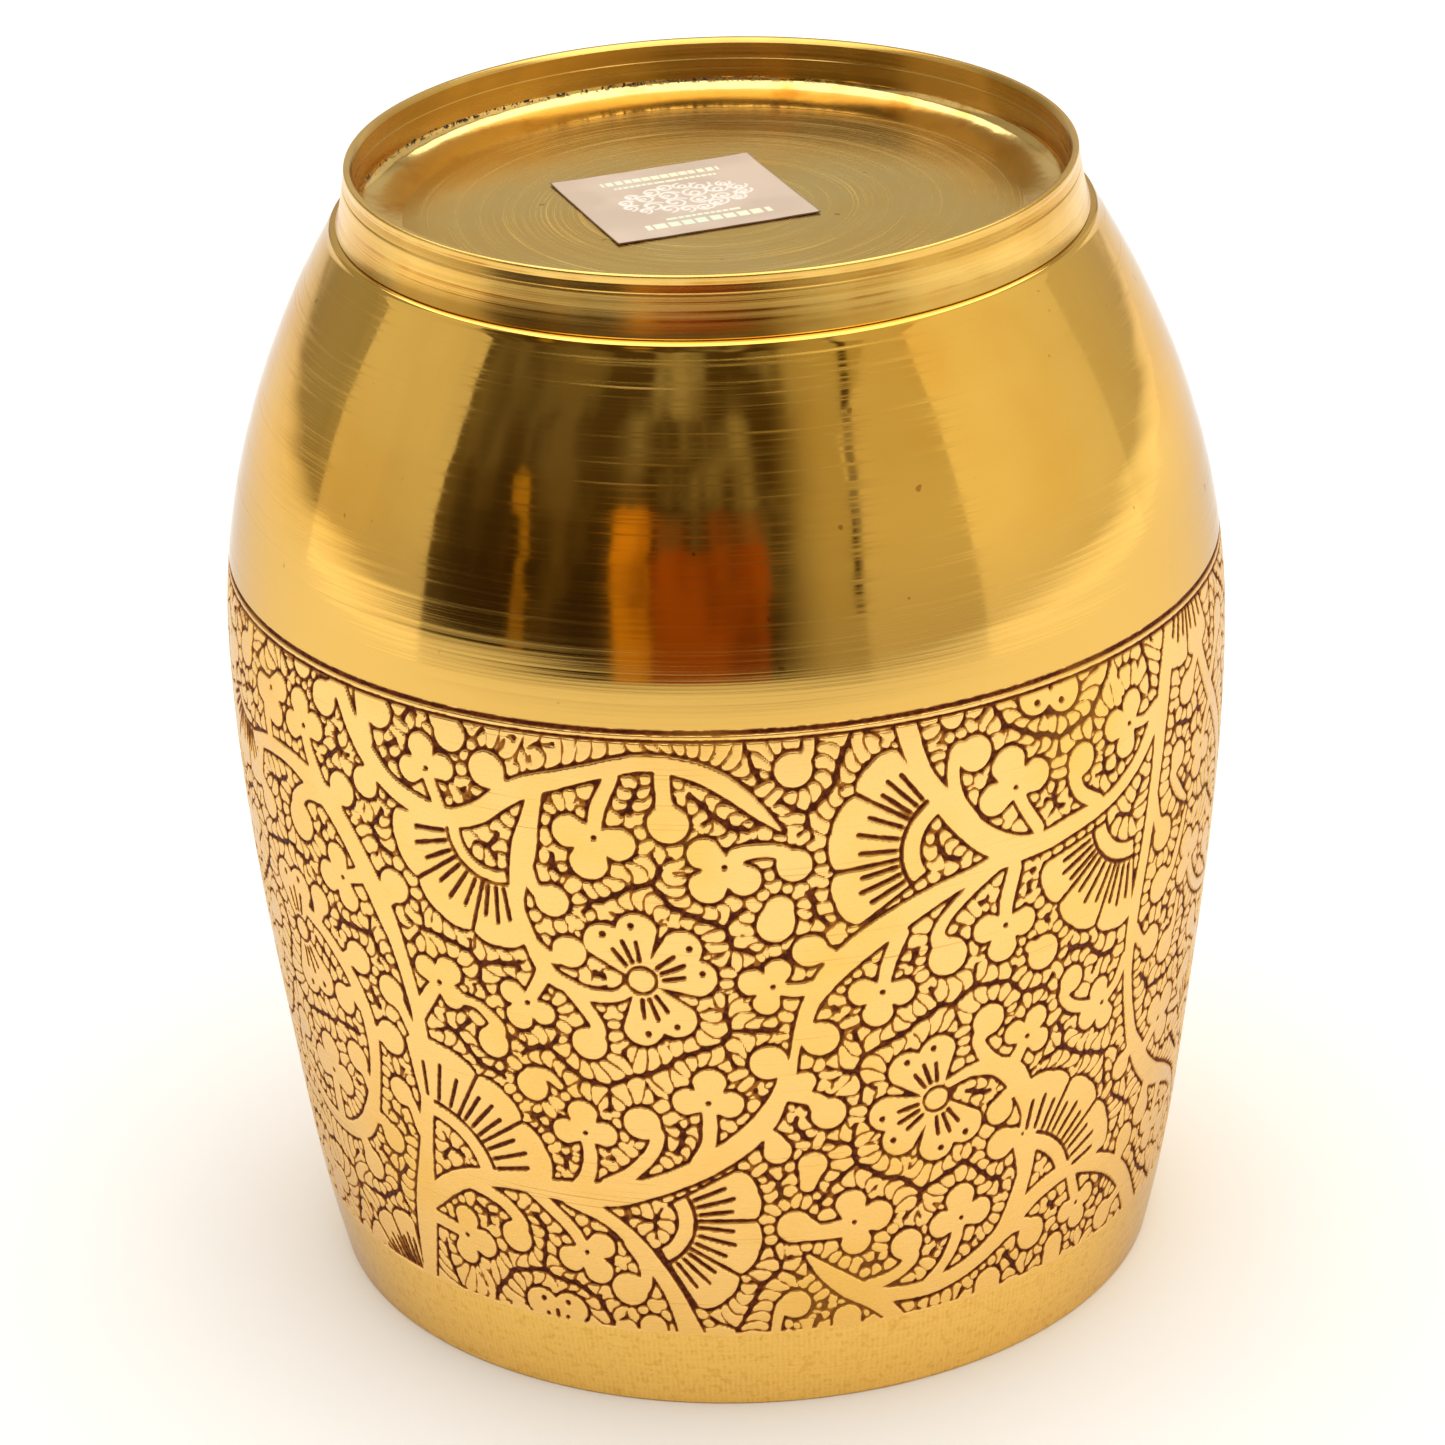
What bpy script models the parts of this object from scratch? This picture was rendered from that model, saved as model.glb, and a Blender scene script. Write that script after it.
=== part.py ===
"""Brass lota, an etched barrel-shaped water pot, resting upside down on its mouth.

Metres, +Z up. The origin is the centre of the mouth's plane, which the pot stands on.
The pot is a spun body with a plain mouth, a turned foot ring brazed round the raised
seat of its base, the braze itself, and a paper-backed foil label inside the foot ring.
"""

import bpy
import bmesh
import math

MM = 0.001
SEGMENTS = 80  # facets round every turned piece
SHARP_EDGE = math.radians(35.0)  # edges sharper than this stay crisp
JOINT_GAP = 0.3 * MM  # clear space kept between pieces that touch

# Driving sizes
HEIGHT = 130.0 * MM  # mouth plane to foot ring lip
FOOT_RADIUS = 40.0 * MM
BELLY_RADIUS = 56.1 * MM
MOUTH_RADIUS = 47.5 * MM
WALL = 1.2 * MM

# Foot ring
FOOT_WALL = 1.1 * MM
FOOT_DROP = 6.3 * MM  # length of the ring, from its lip down
FOOT_FLARE = 0.7 * MM  # how far the cove at its root spreads
FOOT_EDGE = 0.2 * MM  # thickness of the ring's edge below the cove
LIP_ROUND = 0.2 * MM
FILLET_STEPS = 4

# Base inside the foot ring
RECESS = 4.3 * MM  # lip down to the base disc
SEAT_RADIUS = FOOT_RADIUS - FOOT_WALL - JOINT_GAP
SHOULDER_ROUND = 0.7 * MM
BASE_THICKNESS = 2.2 * MM
INNER_CORNER = 12.0 * MM  # radius of the rounded corner inside the base
CORNER_STEPS = 5
CORNER_EASE = 0.9  # share of the shoulder's lean that leads into the corner

# Braze
BRAZE_INNER_RADIUS = 37.4 * MM
BRAZE_HEIGHT = 1.3 * MM
BRAZE_EDGE = 0.2 * MM  # thickness of its inner edge
BRAZE_TOP = 0.05 * MM  # thickness of its upper edge

# Label
LABEL_SIDE = 22.5 * MM
LABEL_THICKNESS = 0.3 * MM
LABEL_PLACE = (-3.1 * MM, -4.2 * MM)
LABEL_TURN = math.radians(22.5)

# Levels worked out from the sizes above
LIP_LEVEL = HEIGHT
DISC_LEVEL = LIP_LEVEL - RECESS
FOOT_ROOT_LEVEL = LIP_LEVEL - FOOT_DROP
SHOULDER_LEVEL = FOOT_ROOT_LEVEL - JOINT_GAP
BELLY_LEVEL = 75.0 * MM  # height of the widest circle
TAPER_LEVEL = 31.5 * MM  # height halfway down the tapering wall

# Wall between those levels: its radii, and its angles from upright
SHOULDER_RADIUS = FOOT_RADIUS + 2.0 * MM
TAPER_RADIUS = 52.6 * MM
SHOULDER_LEAN = math.radians(31.0)
TAPER_LEAN = math.radians(7.3)
MOUTH_LEAN = math.radians(14.0)
WALL_TOP = SHOULDER_LEVEL - 0.5 * MM  # the wall starts just below the rounded shoulder

# Knots of the outer wall from the shoulder down to the mouth: radius, height and
# lean, where a lean of dr/dz is positive if the wall widens upwards
WALL_KNOTS = (
    (SHOULDER_RADIUS, WALL_TOP, -math.tan(SHOULDER_LEAN)),
    (BELLY_RADIUS, BELLY_LEVEL, 0.0),
    (TAPER_RADIUS, TAPER_LEVEL, math.tan(TAPER_LEAN)),
    (MOUTH_RADIUS, 0.0, math.tan(MOUTH_LEAN)),
)
STEPS_BETWEEN_KNOTS = 6

BRASS = (0.83, 0.60, 0.22)
BRAZE_BROWN = (0.45, 0.30, 0.12)
FOIL = (0.78, 0.72, 0.68)


def clear_scene():
    """Remove every object that the file opened with."""
    for old in list(bpy.data.objects):
        bpy.data.objects.remove(old, do_unlink=True)


def make_material(name, colour, roughness, metallic):
    """Return a Principled material with one colour."""
    material = bpy.data.materials.new(name)
    material.use_nodes = True
    shader = material.node_tree.nodes["Principled BSDF"]
    shader.inputs["Base Color"].default_value = (*colour, 1.0)
    shader.inputs["Roughness"].default_value = roughness
    shader.inputs["Metallic"].default_value = metallic
    material.diffuse_color = (*colour, 1.0)
    return material


def smooth_between(upper, lower, t):
    """Return radius, height and lean at t from 0 at the upper wall knot to 1."""
    r0, z0, lean0 = upper
    r1, z1, lean1 = lower
    span = z1 - z0
    radius = (
        r0 * (1 + 2 * t) * (1 - t) ** 2
        + lean0 * span * t * (1 - t) ** 2
        + r1 * t * t * (3 - 2 * t)
        - lean1 * span * t * t * (1 - t)
    )
    lean = (
        (r1 - r0) / span * 6 * t * (1 - t)
        + lean0 * (1 - t) * (1 - 3 * t)
        + lean1 * t * (3 * t - 2)
    )
    return radius, z0 + span * t, lean


def wall_stations():
    """Return radius, height and lean down the outer wall, shoulder to mouth."""
    stations = [WALL_KNOTS[0]]
    for upper, lower in zip(WALL_KNOTS, WALL_KNOTS[1:]):
        for step in range(1, STEPS_BETWEEN_KNOTS + 1):
            stations.append(smooth_between(upper, lower, step / STEPS_BETWEEN_KNOTS))
    return stations


def inner_wall(stations, top):
    """Return the inner wall's outline from the mouth up to the height top."""
    outline = [(MOUTH_RADIUS - WALL, 0.0)]
    for radius, height, lean in reversed(stations[:-1]):
        tilt = math.atan(lean)
        inner = (radius - WALL * math.cos(tilt), height + WALL * math.sin(tilt))
        if inner[1] < top:
            outline.append(inner)
    return outline


def arc(centre, radius, start, end, steps):
    """Return points on an arc in the outline's plane, with its angles in degrees."""
    points = []
    for step in range(steps + 1):
        angle = math.radians(start + (end - start) * step / steps)
        points.append(
            (
                centre[0] + radius * math.cos(angle),
                centre[1] + radius * math.sin(angle),
            )
        )
    return points


def turned(name, outline, material):
    """Turn a closed outline, given clockwise from its top on +X, into a named piece."""
    mesh = bpy.data.meshes.new(name)
    shape = bmesh.new()
    rings = []
    for radius, height in outline:
        if radius == 0.0:
            rings.append([shape.verts.new((0.0, 0.0, height))])
            continue
        ring = []
        for k in range(SEGMENTS):
            angle = 2 * math.pi * k / SEGMENTS
            ring.append(
                shape.verts.new(
                    (radius * math.cos(angle), radius * math.sin(angle), height)
                )
            )
        rings.append(ring)
    for first, second in zip(rings, rings[1:] + rings[:1]):
        if len(first) == 1 and len(second) == 1:
            continue
        for k in range(SEGMENTS):
            following = (k + 1) % SEGMENTS
            if len(first) == 1:
                corners = (first[0], second[k], second[following])
            elif len(second) == 1:
                corners = (first[k], second[0], first[following])
            else:
                corners = (first[k], second[k], second[following], first[following])
            shape.faces.new(corners)
    bmesh.ops.recalc_face_normals(shape, faces=shape.faces)
    shape.to_mesh(mesh)
    shape.free()
    mesh.shade_smooth()
    mesh.set_sharp_from_angle(angle=SHARP_EDGE)
    piece = bpy.data.objects.new(name, mesh)
    bpy.context.collection.objects.link(piece)
    mesh.materials.append(material)
    return piece


def make_body_shell():
    """Spun body: raised base seat, rounded shoulder, barrel wall and plain mouth."""
    stations = wall_stations()
    outside = [station[:2] for station in stations]
    shoulder_edge = (outside[0][0] - SHOULDER_ROUND, SHOULDER_LEVEL)
    inner_base = DISC_LEVEL - BASE_THICKNESS
    corner_foot = inner_base - INNER_CORNER * (1 - math.sin(SHOULDER_LEAN))
    inside = inner_wall(stations, corner_foot)
    rise = corner_foot - inside[-1][1]
    corner_radius = inside[-1][0] - rise * math.tan(SHOULDER_LEAN) * CORNER_EASE
    corner_centre = corner_radius - INNER_CORNER * math.cos(SHOULDER_LEAN)
    corner = arc(
        (corner_centre, inner_base - INNER_CORNER),
        INNER_CORNER,
        math.degrees(SHOULDER_LEAN),
        90,
        CORNER_STEPS,
    )
    outline = (
        [(0.0, DISC_LEVEL), (SEAT_RADIUS, DISC_LEVEL)]
        + [(SEAT_RADIUS, SHOULDER_LEVEL), shoulder_edge]
        + outside
        + inside
        + corner
        + [(0.0, inner_base)]
    )
    return turned(
        "body_shell", outline, make_material("polished_brass", BRASS, 0.18, 1.0)
    )


def make_foot_ring():
    """Turned foot ring: flat lip, straight wall and a small cove at its root."""
    inner = FOOT_RADIUS - FOOT_WALL
    cove = arc(
        (FOOT_RADIUS + FOOT_FLARE, FOOT_ROOT_LEVEL + FOOT_FLARE + FOOT_EDGE),
        FOOT_FLARE,
        180,
        270,
        FILLET_STEPS,
    )
    outline = (
        [(inner, LIP_LEVEL - LIP_ROUND), (inner + LIP_ROUND, LIP_LEVEL)]
        + [(FOOT_RADIUS - LIP_ROUND, LIP_LEVEL), (FOOT_RADIUS, LIP_LEVEL - LIP_ROUND)]
        + cove
        + [(FOOT_RADIUS + FOOT_FLARE, FOOT_ROOT_LEVEL), (inner, FOOT_ROOT_LEVEL)]
    )
    return turned("foot_ring", outline, make_material("lathed_brass", BRASS, 0.25, 1.0))


def make_braze_fillet():
    """Ring of braze in the corner between the base disc and the foot ring."""
    outer = FOOT_RADIUS - FOOT_WALL - JOINT_GAP
    bottom = DISC_LEVEL + JOINT_GAP
    width = outer - BRAZE_INNER_RADIUS
    hollow = arc(
        (BRAZE_INNER_RADIUS, bottom + BRAZE_EDGE + width),
        width - BRAZE_TOP,
        0,
        -90,
        FILLET_STEPS,
    )
    outline = (
        [(BRAZE_INNER_RADIUS, bottom)]
        + list(reversed(hollow))
        + [(outer, bottom + BRAZE_HEIGHT), (outer, bottom)]
    )
    return turned(
        "braze_fillet", outline, make_material("braze", BRAZE_BROWN, 0.5, 1.0)
    )


def make_base_label():
    """Square foil label lying on the base disc."""
    mesh = bpy.data.meshes.new("base_label")
    shape = bmesh.new()
    bmesh.ops.create_cube(shape, size=1.0)
    bmesh.ops.scale(
        shape, vec=(LABEL_SIDE, LABEL_SIDE, LABEL_THICKNESS), verts=shape.verts
    )
    shape.to_mesh(mesh)
    shape.free()
    label = bpy.data.objects.new("base_label", mesh)
    bpy.context.collection.objects.link(label)
    mesh.materials.append(make_material("foil_paper", FOIL, 0.35, 0.3))
    label.location = (*LABEL_PLACE, DISC_LEVEL + JOINT_GAP + LABEL_THICKNESS / 2)
    label.rotation_euler = (0.0, 0.0, LABEL_TURN)
    return label


def main():
    """Build the pot under one empty."""
    clear_scene()
    root = bpy.data.objects.new("lota", None)
    bpy.context.collection.objects.link(root)
    pieces = (
        make_body_shell(),
        make_foot_ring(),
        make_braze_fillet(),
        make_base_label(),
    )
    for piece in pieces:
        piece.parent = root


main()
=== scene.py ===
"""Looks of the etched brass lota, which rests upside down on its mouth.

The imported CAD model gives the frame: every size below is read from it, or is a share of
one read from it. Lengths are metres and +Z is up. The etched ornament is worked out in
millimetres on the band's unrolled surface, where x runs round the pot and y up it.
"""

import math

import bpy
import numpy as np
from mathutils import Matrix, Vector


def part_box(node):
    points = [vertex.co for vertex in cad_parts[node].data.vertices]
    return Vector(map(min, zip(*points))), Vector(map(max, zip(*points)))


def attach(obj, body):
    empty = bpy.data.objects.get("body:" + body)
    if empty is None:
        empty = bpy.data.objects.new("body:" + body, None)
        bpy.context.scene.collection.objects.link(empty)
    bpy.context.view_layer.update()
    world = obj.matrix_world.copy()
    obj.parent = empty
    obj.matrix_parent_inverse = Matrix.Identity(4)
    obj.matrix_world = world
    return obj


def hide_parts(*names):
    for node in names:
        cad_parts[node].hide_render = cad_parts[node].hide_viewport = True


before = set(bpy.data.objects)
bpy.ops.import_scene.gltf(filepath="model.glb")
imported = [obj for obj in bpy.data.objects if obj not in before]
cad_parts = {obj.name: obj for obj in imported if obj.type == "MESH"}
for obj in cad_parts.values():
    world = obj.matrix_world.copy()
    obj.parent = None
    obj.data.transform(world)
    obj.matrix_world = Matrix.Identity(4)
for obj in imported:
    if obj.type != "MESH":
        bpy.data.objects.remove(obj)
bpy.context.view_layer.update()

MM = 0.001
SEED = 7

# ---------------------------------------------------------------- sizes from the frame

SHELL_LOW, SHELL_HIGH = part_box("body_shell")
RING_LOW, RING_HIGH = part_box("foot_ring")
LABEL_LOW, LABEL_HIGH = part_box("base_label")

BELLY_RADIUS = (SHELL_HIGH.x - SHELL_LOW.x) / 2
LIP_LEVEL = RING_HIGH.z
RING_ROOT_LEVEL = RING_LOW.z
RING_REACH = (RING_HIGH.x - RING_LOW.x) / 2  # at its root, where it is widest

COVE = 0.7 * MM  # how far the CAD's ring spreads at its root
RING_RADIUS = RING_REACH - COVE
RING_WALL = 1.1 * MM
RING_INNER = RING_RADIUS - RING_WALL
SHOULDER_LEVEL = RING_ROOT_LEVEL - 0.3 * MM
DISC_LEVEL = SHOULDER_LEVEL  # the sheet base is as deep as the shoulder outside the ring
RING_BOTTOM = SHOULDER_LEVEL + 0.06 * MM  # the brazed ring all but touches the shoulder
FLARE_DROP = 0.7 * MM  # lip down to where the ring's wall starts to spread
SPREAD = 0.95 * MM  # how much wider the ring's wall is at its root than at its lip
ROOT_COVE = 0.32 * MM  # how far the cove at the root spreads beyond that
DISH_INNER = RING_INNER - 5.0 * MM  # where the base starts to rise to the ring
DISH_RISE = 2.1 * MM
WALL = 1.2 * MM
BASE_THICKNESS = 2.2 * MM
INNER_CORNER = 12.0 * MM

# Knots of the outer wall, shoulder to mouth: radius, height, lean (dr/dz)
SHOULDER_LEAN = math.radians(31.0)
WALL_KNOTS = (
    (42.0 * MM, SHOULDER_LEVEL - 0.5 * MM, -math.tan(SHOULDER_LEAN)),
    (BELLY_RADIUS, 75.0 * MM, 0.0),
    (52.6 * MM, 31.5 * MM, math.tan(math.radians(7.3))),
    (47.5 * MM, 0.0, math.tan(math.radians(14.0))),
)

# Etched band
BAND_LOW = 10.1 * MM
BAND_HIGH = 86.1 * MM
ETCH_DEPTH = 0.26 * MM
BAND_BED = 0.6 * MM  # how far the shell steps in under the etched sheet
PANELS = 6
PANEL_STEP = 0.22 * MM

ROUND = 288  # facets round a turned piece


def wall_radius(height):
    """Return the outer wall's radius and lean at a height, or at an array of them."""
    height = np.asarray(height, float)
    radius = np.zeros_like(height)
    lean = np.zeros_like(height)
    for upper, lower in zip(WALL_KNOTS, WALL_KNOTS[1:]):
        r0, z0, lean0 = upper
        r1, z1, lean1 = lower
        here = (height <= z0 + 1e-9) & (height >= z1 - 1e-9)
        span = z1 - z0
        t = (height - z0) / span
        r = (
            r0 * (1 + 2 * t) * (1 - t) ** 2
            + lean0 * span * t * (1 - t) ** 2
            + r1 * t * t * (3 - 2 * t)
            - lean1 * span * t * t * (1 - t)
        )
        slope = (
            (r1 - r0) / span * 6 * t * (1 - t)
            + lean0 * (1 - t) * (1 - 3 * t)
            + lean1 * t * (3 * t - 2)
        )
        radius = np.where(here, r, radius)
        lean = np.where(here, slope, lean)
    return radius, lean


# ---------------------------------------------------------------- the etched ornament
# Vines, flowers, buds and fans are listed one by one, as degrees round the pot from its
# front and millimetres above the mouth. The ornament repeats after half a turn.

REPEAT = 180.0
PER_DEGREE = math.radians(1.0) * BELLY_RADIUS / MM
LEAF_LOW = BAND_LOW / MM
LEAF_HIGH = BAND_HIGH / MM
CELL = 0.1  # spacing of the ornament's grid
COLUMNS = int(round(REPEAT * PER_DEGREE / CELL))
ROWS = int(round((LEAF_HIGH - LEAF_LOW) / CELL))
LEFT = -REPEAT / 2 * PER_DEGREE
FAR = 9.0  # how far out a motif's distance is worked out
EMPTY = 12.0  # distance where no motif is near
SLOT_REACH = 1.5  # how far out a slot's distance is worked out
FIELD_LIMIT = 0.6  # distances are held within this before they are blurred

GROOVE = 0.37  # bare line round every motif
SCALE_ROW = 3.2  # height of a row of scales
SCALE_STEP = (1.4, 1.85)  # width of a scale
SCALE_GAP = 0.16  # half the line between two scales
ROW_HALF = 0.15  # half the line between two rows of scales
RIDGE_HALF = 0.2  # half the line midway between two motifs
NARROW_ROOM = 1.25  # with less room than this, scales reach from motif to motif
RIM_LINE = 85.7  # border lines above the ornament, and half their widths
RIM_HALF = 0.27
INNER_LINE = 84.75
INNER_HALF = 0.2
FOOT_LINE = 10.4  # the ornament is cut off flat here
ROUGHNESS = 0.035  # how uneven the edges are

CURVE_PIECES = 5  # straight pieces between two points of a vine or a stem
NECK_SHARE = 0.35  # where a bud's stem begins, as a share of the way to its first point
NECK_SWELL = 1.5  # how much wider than at that point it begins

# Small flower at size 1: way of each lobe from its stem, its reach and its radius
LOBES = ((90, 2.1, 1.55), (180, 2.3, 1.7), (270, 2.1, 1.55))
LOBE_ROOT = 0.8
STEM_ROOT = 0.7  # half width of its stem under the flower
FLOWER_DOT = 0.3

# Large flower: radii from its middle and degrees from a petal's middle line
PETAL_ROOT = 1.8
PETAL_ROOT_HALF = 0.9
PETAL_TIP = 5.95
PETAL_TIP_HALF = 2.2
PETAL_SPREAD = 19
DOT_PLACE = 6.7
DOT_SPREAD = 14.5
DOT_RADIUS = 0.4
HEART_LINE_HALF = 0.2
HEART_STEP = 15

# Fan: its scallops stand out beyond a circle, with a smaller pair on each
RIM_INSET = 1.0
SCALLOP = 1.1
SCALLOP_PAIR = 0.3
SLOT_SHARES = (0.22, 0.5, 0.78)  # places of the slots across a lobe
SLOT_SHORT = 2.7  # from a lobe's tip down to its middle slot
SLOT_HALF = 0.27  # half width of a slot, and of the gap between two lobes
LOBE_GAP_HALF = 0.25

# Rows of scales
LEAST_ROOM = 0.05  # room between motif and ridge is taken as no less than this
ROW_BEND = 0.85  # how far a scale's sides bend, and the size of the patches that bend alike
BEND_PATCH = 8
ROW_LEAN = 0.45  # the same for their lean
LEAN_PATCH = 12
RIDGE_STEP = 0.25  # steps on the way out to the ridge, and how many
RIDGE_STEPS = 33
WALK_PARTS = 4  # parts in which a step along a row is walked
ROW_LOST = 0.55  # farther than this from a row's middle, the walk along it ends
START_NEAR = 0.08  # a walk starts no farther than this from a row's middle
START_ROOM = 0.25
WALK_CLEAR = 1.12  # least distance between scales in a walk, and where one starts
START_CLEAR = 1.25
SCALE_SEARCH = 4.2  # how far round its centre a scale is looked for
SCALE_LENGTH = 1.45  # longest half of a scale
LEAST_SLOPE = 0.9  # steepness of the gap between scales is taken as no less than this
SCALE_CORNER = 0.38  # rounding of a scale's corners
SCALE_BLUR = 0.11
MOTIF_BLUR = 0.1

# Vine: degrees, height and half width along it
VINES = (
    ((-49.4, 87, 1.0), (-46.8, 82, 1.1), (-44, 78.3, 1.3), (-40.5, 75.3, 1.2), (-36.5, 73.8, 1.2),
     (-32.3, 73.3, 1.1), (-28.6, 74.6, 1.2), (-25.6, 76.9, 1.2), (-22.8, 78.6, 1.2), (-19, 79.9, 1.0),
     (-14.5, 81.3, 0.9), (-9.5, 82.4, 0.9), (-4.5, 81.7, 1.0), (-0.8, 79.9, 1.1), (2.3, 77.2, 0.8),
     (5.0, 74.5, 0.15)),
    ((-44.9, 87, 0.9), (-44.4, 83, 0.9), (-43.6, 79.5, 0.9)),
    ((-21.4, 78.6, 0.7), (-22.4, 74.8, 1.0), (-23.3, 71, 1.4), (-24.4, 65.5, 0.8), (-23.8, 62, 0.8),
     (-21.6, 56.9, 1.0), (-19, 55.3, 0.9), (-16.5, 54.5, 0.8), (-13.5, 54.7, 0.7), (-11.5, 56.3, 0.7)),
    ((-76, 64.5, 0.4), (-72, 69.0, 0.8), (-66, 71.6, 0.9), (-60, 72.4, 1.0), (-55.5, 71.7, 1.3),
     (-51.5, 70.3, 1.6), (-48.3, 67.3, 1.5), (-45.6, 63.6, 1.5), (-43.2, 59.3, 1.5), (-41.5, 55, 1.1),
     (-39.9, 47, 0.9), (-40.1, 38.5, 1.0), (-42, 29.5, 1.0), (-44.3, 19.5, 1.7), (-46.3, 9, 1.0)),
    ((-43.6, 20.8, 0.9), (-41.6, 22.8, 1.2), (-39, 25, 1.3), (-35.8, 26.8, 1.2), (-32, 27.8, 1.1),
     (-27, 28.2, 1.1), (-22, 28.2, 1.4), (-16.5, 28.6, 1.6), (-11.5, 29.9, 1.3), (-7, 31.8, 1.3),
     (-3, 34.1, 1.4), (0.3, 36.6, 1.4), (2.8, 39.4, 1.3), (4.3, 42.5, 0.9), (4.7, 45, 0.7),
     (3.6, 46.6, 1.2)),
    ((-21.5, 27.4, 1.2), (-17, 25.3, 0.9), (-13.8, 22.4, 1.0), (-11.2, 18.8, 1.0), (-9.2, 15, 1.1),
     (-7.2, 9, 1.6)),
    ((32, 66.9, 1.3), (27, 65.8, 0.9), (22, 64.3, 1.2), (17.5, 62.2, 1.5), (13.5, 59.8, 1.6),
     (10.3, 57, 1.4), (8.1, 54, 1.0), (6.4, 50, 0.5), (5.2, 42, 0.5)),
    ((18.6, 87, 1.2), (19.7, 82, 1.1), (21, 78.5, 1.0), (23.2, 75, 1.2), (25.8, 71.8, 1.4),
     (28.6, 69.2, 1.5), (32, 67.4, 1.5), (36, 67.1, 1.2), (40.5, 67.8, 1.2), (44.5, 68.3, 0.9),
     (48, 69.5, 0.9), (51.5, 71.7, 0.9), (54.3, 74.8, 1.1)),
    ((59.6, 87, 0.9), (56.6, 77.5, 1.3), (55.1, 69, 1.0), (53.5, 60, 0.9), (52, 52, 1.0),
     (52.1, 44, 0.8), (54.2, 36.5, 1.0), (56.4, 33, 1.3), (59, 29.8, 1.4), (62.5, 27, 1.4),
     (67, 25, 1.1), (72, 22, 0.8), (75, 17, 0.5)),
    ((7.3, 20.4, 0.3), (9.5, 18, 1.0), (12.5, 15.5, 1.4), (15.5, 13.4, 1.2), (18.3, 10.8, 1.0),
     (19.6, 9, 1.0)),
    ((15.5, 13.9, 0.9), (20, 13.3, 1.0), (24, 13.4, 1.1), (28, 14.5, 1.1), (31.5, 16.3, 1.2),
     (34.2, 18.7, 1.3), (36.4, 25, 1.1), (36.7, 29, 0.9), (36, 33, 0.9), (34.9, 36.3, 1.3),
     (33.2, 39, 1.5), (30.8, 40.6, 1.1), (27.5, 41.1, 0.8), (24.5, 40.3, 0.6)),
    ((34.2, 17.6, 1.0), (37.5, 20.6, 1.2), (41, 22.0, 1.2), (45, 22.4, 1.1), (49, 21.2, 1.1),
     (52.5, 19.6, 1.2), (55.5, 17.4, 1.3), (58, 14.8, 1.4), (62, 9, 1.6)),
    ((-66, 55, 0.3), (-60, 53.5, 0.7), (-55.5, 52, 0.9), (-51.8, 49, 1.0), (-49.6, 45.5, 1.1),
     (-48.8, 41.5, 1.1), (-49.2, 37.5, 0.9), (-50.4, 33.5, 1.0), (-52, 30, 1.3), (-54.5, 27, 1.3),
     (-58.5, 25.2, 1.0), (-64, 25.4, 0.9), (-69, 28, 0.7), (-71, 31, 0.3)),
    ((65, 87, 0.6), (66, 80, 0.9), (69, 74, 1.0), (73, 69, 1.1), (77, 63, 1.2), (79, 56, 1.1),
     (79, 48, 1.0), (77, 41, 1.0), (74, 36, 1.0), (70, 33.5, 0.8), (66, 34, 0.6)),
    ((79, 56, 0.9), (83, 60, 1.0), (87, 66, 1.0), (92, 71, 1.0), (98, 72.5, 0.9), (104, 69, 0.8)),
    ((78.5, 46, 0.8), (82, 41, 1.0), (86, 35, 1.1), (91, 30, 1.1), (97, 27, 1.0), (103, 26, 0.9),
     (111, 24.5, 0.8)),
    ((86, 35, 0.8), (86, 28, 1.0), (84, 21, 1.0), (80, 15, 1.1), (77, 9, 1.2)),
)

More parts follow.
